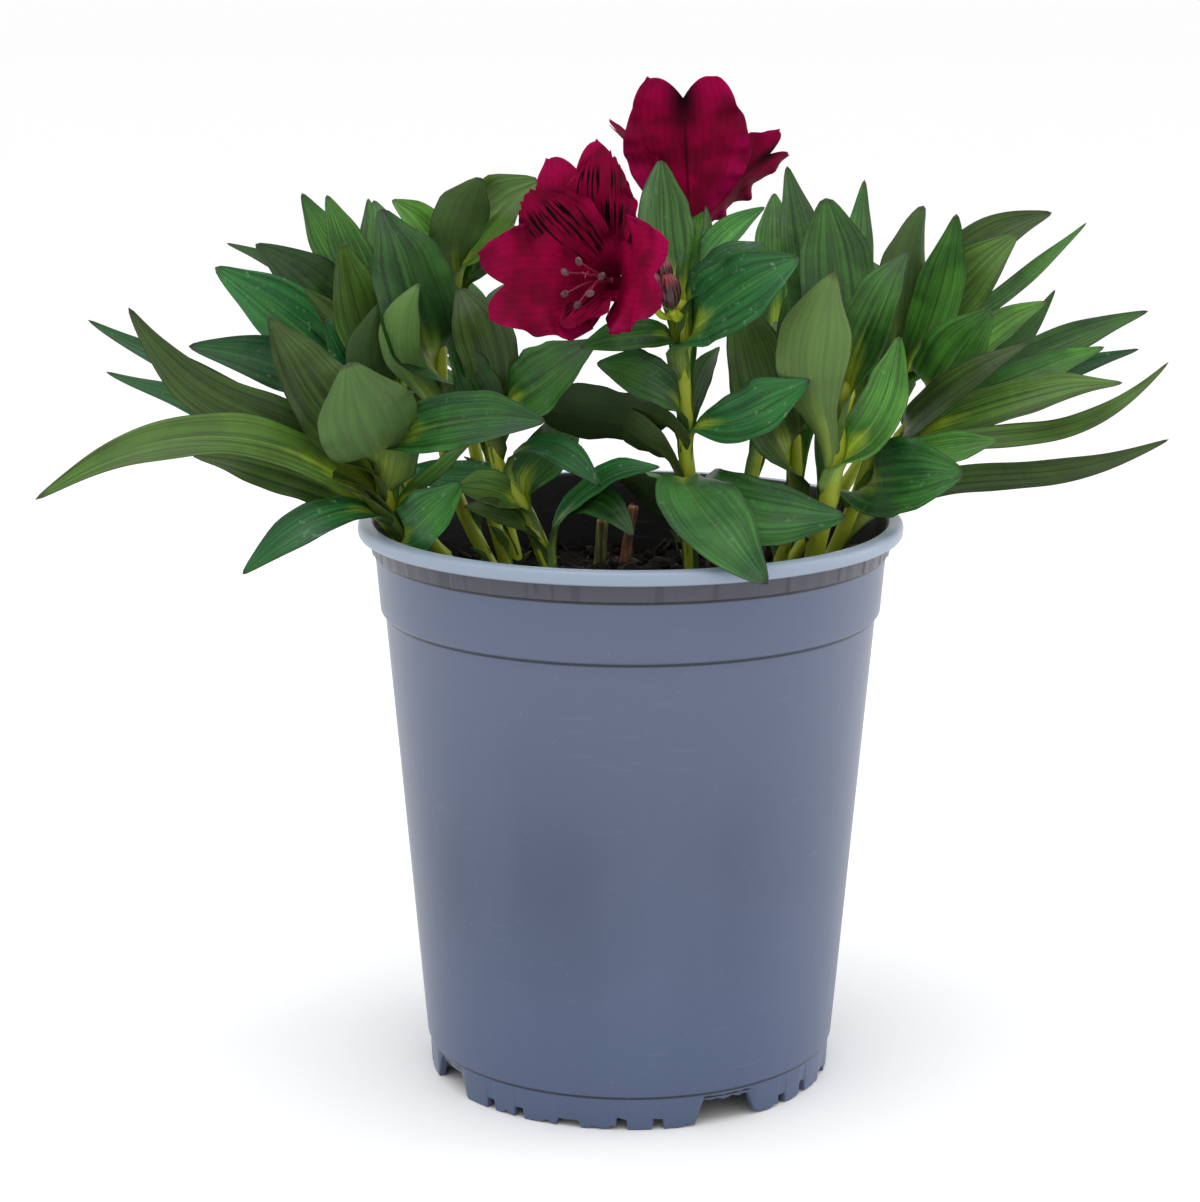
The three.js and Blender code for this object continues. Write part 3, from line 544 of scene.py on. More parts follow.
def reach_of(form, u):
    """How far along the centreline each line across a blade reaches. A heart's two lobes stand past
    its notch by 0.14 and round off to their corners as circles do, with a small spike on each. A
    spoon's end is ragged."""
    if form == "heart":
        a = np.abs(u)
        notch = 0.14 * np.clip((0.5 - a) / 0.5, 0, 1) ** 2
        corner = 0.3 * (1 - np.sqrt(1 - np.clip((a - 0.5) / 0.5, 0, 1) ** 2))
        return 1 - notch - corner + 0.025 * bell(a, 0.66, 0.035)
    if form == "spoon":
        return 1 - 0.13 * u * u - 0.04 * np.sin(11 * u + 1) ** 2
    return np.ones_like(u)


def blade(root, spec, up, trough, look, grid, draw, stem, tone):
    """A leaf or a tepal as a closed thin skin. Its centreline is the straight line from root to
    tip, lifted by 4t(1-t) of the bow and sin(2 pi t) of the swing and moved sideways by 4t(1-t) of
    the sway. Across, it is a trough u^2 deep, turned by its roll. Look holds its thickness, the
    height of the waves along its margins, how often they come, the height of the ridges over its
    veins and their number, the depth of its midrib, how far its tip curls and how far it twists.
    Where a stem is given, the foot first runs up the stem's side and wraps round it, and turns
    into its roll as it leaves."""
    tip, width, bow, sway, roll, form = spec[:6]
    swing = spec[6] if len(spec) > 6 else 0
    start, end = np.array(root, float), np.array(tip, float)
    chord = end - start
    length = np.linalg.norm(chord)
    up = np.asarray(up, float)
    level = np.cross(up, unit(chord - up * (chord @ up)))
    lift = unit(np.cross(chord, level))
    pointed = form not in ("heart", "spoon")
    rows, columns = grid
    share = np.linspace(0, POINT_START if pointed else 1, rows)
    u = np.sin(np.linspace(-np.pi / 2, np.pi / 2, columns + 1))
    share, u = np.meshgrid(share, u, indexing="ij")
    t = share * reach_of(form, u)
    tc = t[..., None]
    hump, slope, wave = 4 * tc * (1 - tc), 4 * (1 - 2 * tc), 2 * np.pi * tc
    climb_rate = bow * slope + swing * 2 * np.pi * np.cos(wave)
    along = unit(chord + lift * climb_rate + level * sway * slope)
    normal = unit(np.cross(along, level))
    side = np.cross(normal, along)
    centre = start + chord * tc + lift * (bow * hump + swing * np.sin(wave)) + level * (sway * hump)
    twist = draw.normal() * look["twist"]
    angle = np.radians(roll + twist * (2 * t - 1))
    if stem is not None:
        angle = angle * ease(t, 0, ROLL_END)
    angle = angle[..., None]
    across = side * np.cos(angle) + normal * np.sin(angle)
    face = normal * np.cos(angle) - side * np.sin(angle)
    half = width / 2 * spread(form, share)
    dip = np.full_like(t, trough)
    if stem is not None:
        path, at, radius, run = stem
        clasp_end = min(CLASP_SHARE, CLASP_LENGTH / length)
        w = ease(t, 0.0, clasp_end)
        drop = run * (1 - np.minimum(t / clasp_end, 1))
        below, climb = along_path(path, at - drop)
        out = unit(chord - climb * (climb @ chord)[..., None])
        w3 = w[..., None]
        centre = (1 - w3) * (below + out * radius * CLASP_DEPTH) + w3 * centre
        clasp = unit(np.cross(climb, out))
        across = unit((1 - w3) * clasp + w3 * across)
        face = unit((1 - w3) * -out + w3 * face)
        face = unit(face - across * (face * across).sum(axis=-1, keepdims=True))
        half = np.sqrt(half**2 + (CLASP_WIDTH * radius * (1 - w)) ** 2)
        dip = dip + (1 - w) * CLASP_TROUGH
    arch = np.sin(np.pi * np.clip(t, 0, 1)) ** 0.5
    edge = np.abs(u) ** 3 * arch
    starts = draw.uniform(0, 2 * np.pi, 4)
    pace = 2 * np.pi * look["waves"]
    left, right = np.sin(pace * t + starts[0]), np.sin(pace * 1.13 * t + starts[1])
    ripple = np.where(u < 0, left, right) * draw.uniform(0.5, 1.5)
    left, right = np.sin(2.3 * pace * t + starts[2]), np.sin(2.1 * pace * t + starts[3])
    ripple += 0.5 * np.where(u < 0, left, right)
    quilt = np.cos(np.pi * look["veins"] * u) * (1 - u**4) * arch
    height = dip * half * u * u + look["wave"] * half * edge * ripple + look["quilt"] * quilt
    height -= look["midrib"] * bell(u, 0, 0.07) * (1 - t)
    nod = look["curl"] * draw.uniform(0.2, 1) * length * 0.04
    height -= nod * ease(t, 0.65, 1) ** 2
    thick = look["thick"] / 2 * np.sqrt(1 - np.abs(u) ** 7) * (1 - 0.5 * t)
    if not pointed:
        thick = thick * np.sqrt(1 - 0.97 * share**9)
    keel = look["midrib"] * 1.6 * bell(u, 0, 0.09) * np.clip(1 - t, 0, 1) ** 0.7
    flat = centre + across * (u * half)[..., None]
    upper = flat + face * (height + thick)[..., None]
    lower = flat + face * (height - thick - keel)[..., None]
    rings = np.concatenate([upper, lower[:, -2:0:-1]], axis=1)
    edge_gap = half * (1 - np.abs(u))
    luck = draw.uniform()

    def both(field, sign=1):
        return np.concatenate([field, sign * field[:, -2:0:-1]], axis=1)

    marks = np.stack([both(u), both(t), both(np.ones_like(u), -1)], axis=-1)
    span = np.stack([both(edge_gap), both(t * length), both(np.full_like(u, luck))], axis=-1)
    last = end - face[-1].mean(axis=0) * nod if pointed else None
    named = {"blade": marks[:, ::-1], "span": span[:, ::-1], "tone": np.array(tone, float)}
    return shell(rings[:, ::-1], named, last, lips=not pointed)


def ball(centre, radius, stretch, axis, rows, sides, tone=(0, 1, 0), ribs=0, rib=0.0, wind=0.0):
    """A round body stretched along an axis. Its ribs stand rib times cos(ribs a + wind s) high at a
    turn a and a share s of the way up."""
    axis = unit(np.asarray(axis, float))
    side = unit(np.cross(axis, [0.31, 0.95, 0.02]))
    front = np.cross(axis, side)
    polar = np.linspace(0.12, np.pi - 0.12, rows)[:, None]
    turn = np.arange(sides) * 2 * np.pi / sides
    share = (1 - np.cos(polar)) / 2
    bulge = np.sin(polar) * (1 + rib * np.cos(ribs * turn + wind * share))
    out = side * np.cos(turn)[:, None] + front * np.sin(turn)[:, None]
    rings = centre - axis * (radius * stretch * np.cos(polar))[..., None]
    rings = rings + (radius * bulge)[..., None] * out
    return round_skin(rings, turn, share, 0, tone)


def make_piece(name, parts, finishes, solid, picks=None):
    """One mesh of the object from its parts, with its marks and finishes. It rides on the pot and
    stands for a solid. Picks gives each part's finish by its place in the list."""
    offsets = np.cumsum([0] + [len(part[0]) for part in parts[:-1]])
    points = np.vstack([part[0] for part in parts])
    low, high = np.array(SOLIDS_BOX) / MM
    points = np.clip(points, low, high) * MM
    quads = np.vstack([part[1] + offset for part, offset in zip(parts, offsets)])
    fans = np.vstack([part[2] + offset for part, offset in zip(parts, offsets)])
    mesh = bpy.data.meshes.new(name)
    mesh.vertices.add(len(points))
    mesh.vertices.foreach_set("co", points.ravel())
    corners = np.concatenate([quads.ravel(), fans.ravel()])
    mesh.loops.add(len(corners))
    mesh.loops.foreach_set("vertex_index", corners)
    starts = np.concatenate([np.arange(len(quads)) * 4, len(quads) * 4 + np.arange(len(fans)) * 3])
    mesh.polygons.add(len(starts))
    mesh.polygons.foreach_set("loop_start", starts)
    picks = picks or [0] * len(parts)
    choice = [np.broadcast_to(p, len(part[1])) for p, part in zip(picks, parts)]
    choice += [np.full(len(part[2]), np.ravel(p)[0]) for p, part in zip(picks, parts)]
    mesh.polygons.foreach_set("material_index", np.concatenate(choice).astype(np.int32))
    mesh.polygons.foreach_set("use_smooth", np.ones(len(starts), bool))
    for mark in parts[0][3]:
        values = np.vstack([part[3][mark] for part in parts])
        layer = mesh.attributes.new(mark, "FLOAT_VECTOR", "POINT")
        layer.data.foreach_set("vector", values.ravel())
    mesh.update(calc_edges=True)
    for finish in finishes:
        mesh.materials.append(finish)
    made = bpy.data.objects.new(name, mesh)
    bpy.context.scene.collection.objects.link(made)
    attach(made, "root")
    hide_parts(solid)


# ---------------------------------------------------------------- finishes


class Finish:
    """A material being made, with its colour so far. The values of a step are numbers, colours or
    earlier outputs."""

    def __init__(self, name):
        self.material = bpy.data.materials.new(name)
        self.material.use_nodes = True
        self.nodes = self.material.node_tree.nodes
        self.links = self.material.node_tree.links
        self.nodes.clear()
        self.place = self.step("TexCoord").outputs["Object"]
        self.colour = None

    def step(self, kind, settings=None, values=None):
        """Adds a node with its settings, and joins or fills its inputs."""
        made = self.nodes.new("ShaderNode" + kind)
        for key, value in (settings or {}).items():
            setattr(made, key, value)
        for key, value in (values or {}).items():
            if isinstance(value, bpy.types.NodeSocket):
                self.links.new(value, made.inputs[key])
            else:
                made.inputs[key].default_value = value
        return made

    def math(self, operation, *values):
        """One sum, product or other operation on numbers."""
        return self.step("Math", {"operation": operation}, dict(enumerate(values))).outputs[0]

    def times(self, one, other):
        """A product."""
        return self.math("MULTIPLY", one, other)

    def plus(self, one, other):
        """A sum."""
        return self.math("ADD", one, other)

    def rise(self, value, low, high, start=0.0, end=1.0):
        """A smooth change from start at low to end at high."""
        settings = {"interpolation_type": "SMOOTHSTEP"}
        values = {0: value, 1: low, 2: high, 3: start, 4: end}
        return self.step("MapRange", settings, values).outputs[0]

    def mix(self, share, low, high):
        """A colour between two colours."""
        values = {0: share, 6: low, 7: high}
        return self.step("Mix", {"data_type": "RGBA"}, values).outputs[2]

    def paint(self, share, colour):
        """Lays a share of a colour over the colour so far."""
        self.colour = self.mix(share, self.colour, colour)

    def shade(self, factor):
        """Makes the colour so far lighter or darker."""
        values = {0: self.colour, "Scale": factor}
        self.colour = self.step("VectorMath", {"operation": "SCALE"}, values).outputs[0]

    def mark(self, name):
        """The three values of one of the mesh's own marks."""
        mark = self.step("Attribute", {"attribute_name": name})
        return self.step("SeparateXYZ", None, {0: mark.outputs["Vector"]}).outputs

    def noise(self, scale, detail=3.0, stretch=(1, 1, 1), place=None):
        """Cloudy noise from 0 to 1, with its lumps stretched where stretch is small."""
        values = {"Vector": place or self.place, "Scale": stretch}
        where = self.step("Mapping", None, values).outputs[0]
        values = {"Vector": where, "Scale": scale, "Detail": detail}
        return self.step("TexNoise", None, values).outputs[0]

    def cells(self, scale):
        """The distance to the nearest of many scattered points."""
        values = {"Vector": self.place, "Scale": scale}
        return self.step("TexVoronoi", None, values).outputs["Distance"]

    def streaks(self, detail, stretch):
        """Noise that runs along a blade, different on each by its luck."""
        u, t, _ = self.mark("blade")
        place = self.step("CombineXYZ", None, {0: u, 1: t, 2: self.mark("span")[2]}).outputs[0]
        return self.noise(1.0, detail, stretch, place)

    def done(self, roughness, bumps, **values):
        """Joins the surface. Bumps are pairs of a height and its depth in metres."""
        values = {key.replace("_", " ").title(): value for key, value in values.items()}
        values = {key.replace("Ior", "IOR"): value for key, value in values.items()}
        values.update({"Base Color": self.colour, "Roughness": roughness})
        surface = self.step("BsdfPrincipled", None, values)
        normal = None
        for height, depth in bumps:
            values = {"Height": height, "Distance": depth, "Strength": 1.0}
            if normal is not None:
                values["Normal"] = normal
            normal = self.step("Bump", None, values).outputs[0]
        if normal is not None:
            self.links.new(normal, surface.inputs["Normal"])
        end = self.step("OutputMaterial")
        self.links.new(surface.outputs[0], end.inputs[0])
        return self.material


def rgb(*values):
    """A colour with full opacity."""
    return tuple(values) + (1.0,)


def leaf_finish(look):
    """Leaf green: pale foot and stem, fine veins that run to the tip, a pale midrib, a thin dark
    rim and tip, a duller and paler underside."""
    f = Finish("leaf_green")
    u, t, side = f.mark("blade")
    gap, _, luck = f.mark("span")
    teal, light, olive = f.mark("tone")
    cloud = f.noise(70, 4.0)
    grain = f.noise(900, 2.0)
    drift = f.noise(160, 2.0)
    across = f.math("ABSOLUTE", u)
    f.colour = f.mix(f.rise(cloud, 0.3, 0.7), look.deep_green, look.mid_green)
    f.paint(f.times(teal, 0.75), look.blue_green)
    f.paint(f.times(olive, 0.8), look.olive_green)
    reach = f.plus(f.times(across, 0.3), t)
    reach = f.plus(reach, f.times(f.math("SUBTRACT", drift, 0.5), 0.15))
    foot = f.rise(reach, 0.02, 0.42, 0.95, 0.0)
    f.paint(foot, look.pale_foot)
    wander = f.times(f.math("SUBTRACT", drift, 0.5), 2.2)
    line = f.math("SINE", f.plus(f.times(u, 40.0), wander))
    fine = f.math("SINE", f.times(u, 131.0))
    stroke = f.streaks(4.0, (9, 1.4, 23))
    f.shade(f.rise(stroke, 0.3, 0.7, 0.6, 1.55))
    line_share = f.times(f.rise(line, 0.6, 1.0), f.rise(stroke, 0.35, 0.7, 0.0, 0.1))
    f.paint(line_share, look.vein)
    f.shade(f.rise(fine, -1.0, 1.0, 0.95, 1.04))
    rib = f.rise(across, 0.012, 0.06, 1.0, 0.0)
    rib = f.times(rib, f.rise(t, 0.3, 0.95, 0.45, 0.08))
    f.paint(rib, look.vein)
    fleck = f.rise(f.noise(420, 3.0), 0.62, 0.74)
    fleck = f.times(fleck, f.times(teal, 0.45))
    f.paint(fleck, rgb(0.2, 0.34, 0.19))
    under = f.rise(side, -0.9, -0.3, 0.6, 0.0)
    f.paint(under, look.underside)
    rim = f.rise(gap, 0.05, 0.4, 0.7, 0.0)
    rim = f.times(rim, f.rise(t, 0.12, 0.5))
    tip = f.rise(t, 0.955, 1.0, 0.0, 0.8)
    f.paint(f.math("MAXIMUM", rim, tip), look.dark_rim)
    stem = f.mix(f.noise(120, 3.0, (1, 1, 0.12)), look.stem, look.pale_foot)
    stem = f.mix(f.rise(t, 0.05, 0.4, 0.45, 0.0), stem, look.stem_foot)
    is_stem = f.math("LESS_THAN", f.math("ABSOLUTE", side), 0.02)
    f.paint(is_stem, stem)
    f.shade(f.times(light, f.rise(luck, 0.0, 1.0, 0.66, 1.42)))
    dull = f.rise(side, -0.9, -0.3, 0.16, 0.0)
    rough = f.plus(f.rise(cloud, 0.3, 0.75, look.gloss, look.gloss + 0.16), dull)
    bumps = [(grain, 0.00005), (cloud, 0.0009)]
    return f.done(rough, bumps, specular_ior_level=0.3)


def tepal_finish(look):
    """Crimson tepal: fine radiating veins, dark dashes where it is marked streaked, a magenta
    bloom to its margins that is partly the tepal's own tint and partly painted sheen, a dark stain up
    the middle where it is marked stained."""
    f = Finish("crimson_tepal")
    u, t, _ = f.mark("blade")
    gap, _, luck = f.mark("span")
    streak, light, stain = f.mark("tone")
    across = f.math("ABSOLUTE", u)
    cloud = f.noise(110, 4.0)
    f.colour = f.mix(f.rise(cloud, 0.3, 0.7), look.deep_crimson, look.crimson)
    # The margins' magenta is partly the tepal's own tint and partly painted sheen.
    edge = f.plus(f.rise(gap, 0.0, 6.0, 0.75, 0.0), f.rise(t, 0.7, 1.0, 0.0, 0.4))
    edge = f.times(edge, f.rise(cloud, 0.35, 0.62, 0.25, 1.0))
    f.paint(f.times(edge, f.rise(streak, 0.0, 1.0, 0.8, 0.25)), look.magenta)
    wander = f.times(cloud, 5.0)
    line = f.math("SINE", f.plus(f.times(u, 52.0), wander))
    f.shade(f.rise(line, -1.0, 1.0, 0.92, 1.03))
    dash = f.rise(f.streaks(1.0, (15.0, 3.0, 9.0)), 0.545, 0.585)
    band = f.times(f.rise(t, 0.22, 0.32), f.rise(t, 0.8, 0.92, 1.0, 0.0))
    band = f.times(band, f.rise(across, 0.6, 0.9, 1.0, 0.0))
    dash = f.times(f.times(dash, band), streak)
    f.paint(dash, look.streak)
    blot = f.times(f.rise(across, 0.02, 0.42, 1.0, 0.0), f.rise(t, 0.45, 0.86))
    blot = f.math("MAXIMUM", blot, f.rise(across, 0.01, 0.05, 0.7, 0.0))
    f.paint(f.times(blot, stain), look.streak)
    throat = f.times(f.rise(t, 0.02, 0.3, 0.8, 0.0), f.rise(across, 0.1, 0.6, 1.0, 0.2))
    f.paint(throat, look.throat)
    tip = f.times(f.rise(gap, 0.05, 0.5, 0.7, 0.0), f.rise(t, 0.8, 0.95))
    f.paint(tip, look.streak)
    f.shade(f.times(light, f.rise(luck, 0.0, 1.0, 0.9, 1.1)))
    rough = f.rise(cloud, 0.3, 0.7, 0.55, 0.72)
    bumps = [(f.noise(1500, 2.0), 0.00003), (cloud, 0.0008)]
    return f.done(rough, bumps, specular_ior_level=0.04)


def stamen_finish(look):
    """Pinkish threads, and grey-pink grainy pollen heads where they are marked so."""
    f = Finish("stamen")
    t = f.mark("blade")[1]
    head, light, _ = f.mark("tone")
    thread = f.mix(f.rise(t, 0.1, 0.9), look.thread_foot, look.thread)
    dust = f.mix(f.rise(f.noise(1400, 2.0), 0.35, 0.65), look.pollen, look.pollen_dark)
    f.colour = f.mix(head, thread, dust)
    f.shade(light)
    rough = f.rise(head, 0.0, 1.0, 0.4, 0.9)
    return f.done(rough, [(f.noise(2200, 2.0), 0.00012)], subsurface_weight=0.1)


def bud_finish(look):
    """Dark maroon bud with a brighter tip, greenish foot and lengthwise veins."""
    f = Finish("bud_maroon")
    u, t, _ = f.mark("blade")
    cloud = f.noise(300, 3.0)
    line = f.math("SINE", f.plus(f.times(u, 44.0), f.times(cloud, 4.0)))
    f.colour = f.mix(f.rise(t, 0.62, 0.95), look.bud, look.bud_tip)
    f.paint(f.rise(t, 0.02, 0.28, 0.85, 0.0), look.bud_foot)
    f.shade(f.rise(line, -1.0, 1.0, 0.7, 1.15))
    rough = f.rise(cloud, 0.3, 0.7, 0.32, 0.5)
    return f.done(rough, [(line, 0.00012), (cloud, 0.0003)], coat_weight=0.15)


def stub_finish(name, light, dark):
    """A dry cut stem: long fibres, lighter and darker in patches."""
    f = Finish(name)
    fibre = f.noise(900, 3.0, (1, 1, 0.06))
    patch = f.noise(220, 3.0)
    f.colour = f.mix(f.rise(fibre, 0.35, 0.65), dark, light)
    f.shade(f.rise(patch, 0.3, 0.7, 0.6, 1.15))
    return f.done(f.rise(patch, 0.3, 0.7, 0.65, 0.9), [(fibre, 0.0003)])


def plastic_finish(name, look, colour, edge, gloss):
    """Injection-moulded plastic: faint upright flow marks, fine scuffs, dust and watermarks. Where
    a look is given, also what differs by the height: a greyer top, a bluer bottom, a pale lip that is
    a painted highlight, a brownish band under it that is painted shade and a painted reflection of
    the floor, with upright ticks of painted shade, and dark lines of painted shadow under the step
    and over the foot."""
    f = Finish(name)
    flow = f.noise(26, 4.0, (1, 1, 0.18))
    haze = f.noise(9, 3.0)
    scuff = f.noise(60, 5.0, (1, 1, 9))
    dust = f.rise(f.noise(900, 3.0), 0.66, 0.78)
    scratch = f.rise(scuff, 0.62, 0.72)
    f.colour = f.mix(f.rise(flow, 0.3, 0.7), colour, edge)
    f.shade(f.rise(haze, 0.25, 0.75, 0.9, 1.08))
    if look:
        z = f.step("SeparateXYZ", None, {0: f.place}).outputs[2]
        f.paint(f.rise(z, 0.07, 0.15, 0.0, 0.9), look.upper)
        f.paint(f.rise(z, 0.02, 0.08, 0.7, 0.0), look.lower)
        under = (POT_HEIGHT - LIP_HEIGHT) * MM
        # The band under the lip is darkened to a brownish grey as painted shade under the lip and a
        # painted reflection of the floor; its dark ticks are painted shade between its ribs.
        tick = f.rise(f.noise(260, 1.0, (1, 1, 0.03)), 0.58, 0.66)
        band = f.mix(f.times(tick, 0.4), look.band, look.crease_shade)
        above = f.rise(z, (BAND_HEIGHT - 1) * MM, BAND_HEIGHT * MM)
        f.paint(f.times(above, 0.85), band)
        # Painted highlight: the lip is made paler than the wall, standing in for the light on its
        # upturned top.
        f.paint(f.rise(z, under, under + 0.8 * MM), look.lip)
        # Painted shadow: dark lines in the creases at the step, over the foot and at the band.
        for height in (STEP_HEIGHT, FOOT_HEIGHT + 0.3, BAND_HEIGHT + 0.2):
            low = f.rise(z, (height - 0.9) * MM, (height - 0.5) * MM)
            high = f.rise(z, (height + 0.1) * MM, (height + 0.4) * MM, 0.85, 0.0)
            f.paint(f.times(low, high), look.crease_shade)
    marked = f.plus(f.times(dust, 0.2), f.times(scratch, 0.05))
    f.paint(marked, rgb(0.3, 0.31, 0.33))
    rough = f.plus(f.rise(flow, 0.3, 0.7, gloss, gloss + 0.08), f.times(dust, 0.25))
    bumps = [(flow, 0.0004), (f.noise(1100, 2.0), 0.00002), (scratch, 0.00001)]
    return f.done(rough, bumps, specular_ior_level=0.32)


def soil_finish(look):
    """Dark peat: crumbs of near-black and brown, pale specks, wet and dry patches."""
    f = Finish("potting_mix")
    crumb = f.cells(260)
    patch = f.noise(40, 4.0)
    grit = f.noise(700, 4.0)
    f.colour = f.mix(f.rise(grit, 0.35, 0.65), look.soil_dark, look.soil_light)
    f.shade(f.rise(crumb, 0.0, 0.7, 1.25, 0.55))
    speck = f.rise(f.noise(520, 2.0), 0.7, 0.76)
    f.paint(f.times(speck, 0.5), look.speck)
    rough = f.rise(patch, 0.35, 0.65, 0.72, 0.97)
    bumps = [(patch, 0.002), (crumb, 0.0016), (grit, 0.0008)]
    return f.done(rough, bumps, specular_ior_level=0.12)


def bark_finish(name, light, dark):
    """Bark chips and root threads: fibrous, in two browns."""
    f = Finish(name)
    fibre = f.noise(500, 4.0, (1, 0.3, 1))
    f.colour = f.mix(f.rise(fibre, 0.3, 0.7), dark, light)
    return f.done(f.rise(fibre, 0.3, 0.7, 0.7, 0.95), [(fibre, 0.0004)])


def floor_finish(look):
    """A matt pale floor with the faintest grain."""
    f = Finish("pale_floor")
    grain = f.noise(300, 3.0)
    f.colour = f.mix(f.rise(grain, 0.3, 0.7, 0.0, 0.05), look.floor, rgb(0.8, 0.8, 0.8))
    return f.done(0.9, [(grain, 0.00005)], specular_ior_level=0.1)


# ---------------------------------------------------------------- the pot


def round_profile(points, radii, steps=4):
    """A closed outline with rounded corners: each corner becomes a quadratic arc between the
    points at its radius along its two sides."""
    p = np.asarray(points, float)
    before, after = np.roll(p, 1, axis=0), np.roll(p, -1, axis=0)
    made = []
    for a, b, c, r in zip(before, p, after, radii):
        if r == 0:
            made.append(b[None])
            continue
        r1 = min(r, np.linalg.norm(a - b) * 0.48)
        r2 = min(r, np.linalg.norm(c - b) * 0.48)
        start, end = b + unit(a - b) * r1, b + unit(c - b) * r2
        s = np.linspace(0, 1, steps + 1)[:, None]
        made.append((1 - s) ** 2 * start + 2 * s * (1 - s) * b + s * s * end)
    return np.vstack(made)


def notches():
    """Each notch's middle in degrees, its width and its height."""
    for group in range(NOTCH_GROUPS):
        for at, width, tall in NOTCHES:
            yield NOTCH_START + 360 / NOTCH_GROUPS * group + at, width, tall


def notch_height(turn):
    """How high the foot's lower edge stands at a turn in degrees from the front: up to the notch's
    height between its slanting sides, and a little over chips elsewhere."""
    height = np.zeros_like(turn)
    for middle, width, tall in notches():
        off = np.abs((turn - middle + 180) % 360 - 180)
        off = np.radians(off) * (FOOT_RADIUS - FOOT_LINE)
        half = width / 2
        rise = (half - off) / (0.3 * half) * (tall + 1) - 1
        height = np.maximum(height, np.clip(rise, 0, tall))
    place = polar(FOOT_RADIUS, np.radians(turn), 0)
    chips = CHIP_HEIGHT * np.clip(lumps(place, 9, 3, 3) - 0.12, 0, 1)
    return np.clip(height + chips, 0, FOOT_HEIGHT - 2)


def pot_wall(columns):
    """The wall turned round the pot's axis. Its outline runs up the foot and the outside, over the
    lip and down the inside. Under the lip stand fine upright ribs, the wall sways in and out by
    sin(2a) of the turn a, and the foot's lower rows follow the notches. Also gives which faces
    are inside."""
    turn = np.arange(columns) * 360 / columns
    corners = []
    for middle, width, tall in notches():
        for part in (0.5, 0.49 - 0.14 / (tall + 1), 0.35, 0.33):
            step = np.degrees(width * part / (FOOT_RADIUS - FOOT_LINE))
            corners += [middle - step, middle + step]
    turn = np.unique(np.round(np.concatenate([turn, np.array(corners) % 360]), 2))
    foot = FOOT_RADIUS - FOOT_INSET
    under = POT_HEIGHT - LIP_HEIGHT
    neck = RIM_RADIUS - LIP_DEPTH
    outline = [
        ((foot - FOOT_TAPER, 0), 0.5),
        ((foot, FOOT_HEIGHT - 0.5), 0.3),
        ((foot + 0.1, FOOT_HEIGHT), 0.2),
        ((FOOT_RADIUS, FOOT_HEIGHT + FOOT_INSET), 0.8),
        ((STEP_RADIUS, STEP_HEIGHT), 0.35),
        ((STEP_RADIUS + 1.4, STEP_HEIGHT + 0.9), 0.6),
        ((BAND_RADIUS - 0.1, BAND_HEIGHT), 0.3),
        ((BAND_RADIUS + 0.7, BAND_HEIGHT + 0.5), 0.4),
        ((neck, under), 0.8),
        ((RIM_RADIUS, under), 1.5),
        ((RIM_RADIUS, POT_HEIGHT), 1.9),
        ((neck - WALL, POT_HEIGHT), 1.2),
        ((BAND_RADIUS - WALL, BAND_HEIGHT), 1.0),
        ((STEP_RADIUS - WALL, STEP_HEIGHT), 1.0),
        ((FOOT_RADIUS - WALL, FOOT_HEIGHT), 0.5),
        ((foot - FOOT_WALL, FOOT_HEIGHT - FLOOR), 0.4),
        ((foot - FOOT_WALL - FOOT_TAPER, 0), 0.5),
    ]
    rounded = round_profile([o[0] for o in outline], [o[1] for o in outline])
    parts = []
    for a, b in zip(rounded, np.roll(rounded, -1, axis=0)):
        count = max(1, int(np.linalg.norm(b - a) / PROFILE_STEP))
        parts.append(a + (b - a) * np.arange(count)[:, None] / count)
    profile = np.vstack(parts)
    r, z = profile[:, :1], profile[:, 1:]
    radian = np.radians(turn - 90)
    ribs = np.maximum(0, np.cos(np.radians(turn) * RIBS)) ** 6
    outer = (z > BAND_HEIGHT + 0.4) & (z < under - 0.2) & (r > neck - 2)
    radius = r + np.where(outer, RIB_DEPTH * ribs, 0)
    bulge = np.sin(np.radians(turn) * 2 + 0.6) * ease(z, 20, 150) * ease(180 - z, 4, 30)
    radius = radius + WALL_SWAY * bulge
    notch = notch_height(turn)
    tall = np.where(z < FOOT_HEIGHT - 0.2, notch + z * (1 - notch / (FOOT_HEIGHT - 0.2)), z)
    rings = polar(radius, radian, tall)
    inside = np.repeat((r[:, 0] < neck - WALL * 0.5) & (z[:, 0] > FOOT_HEIGHT), len(turn))
    top_row = int(np.argmax(z[:, 0]))
    row = np.repeat(np.arange(len(profile)), len(turn))
    inside = inside & (row > top_row)
    part = shell(rings, {"blade": (0, 0, 0)}, loop=True)
    return part, inside.astype(int)


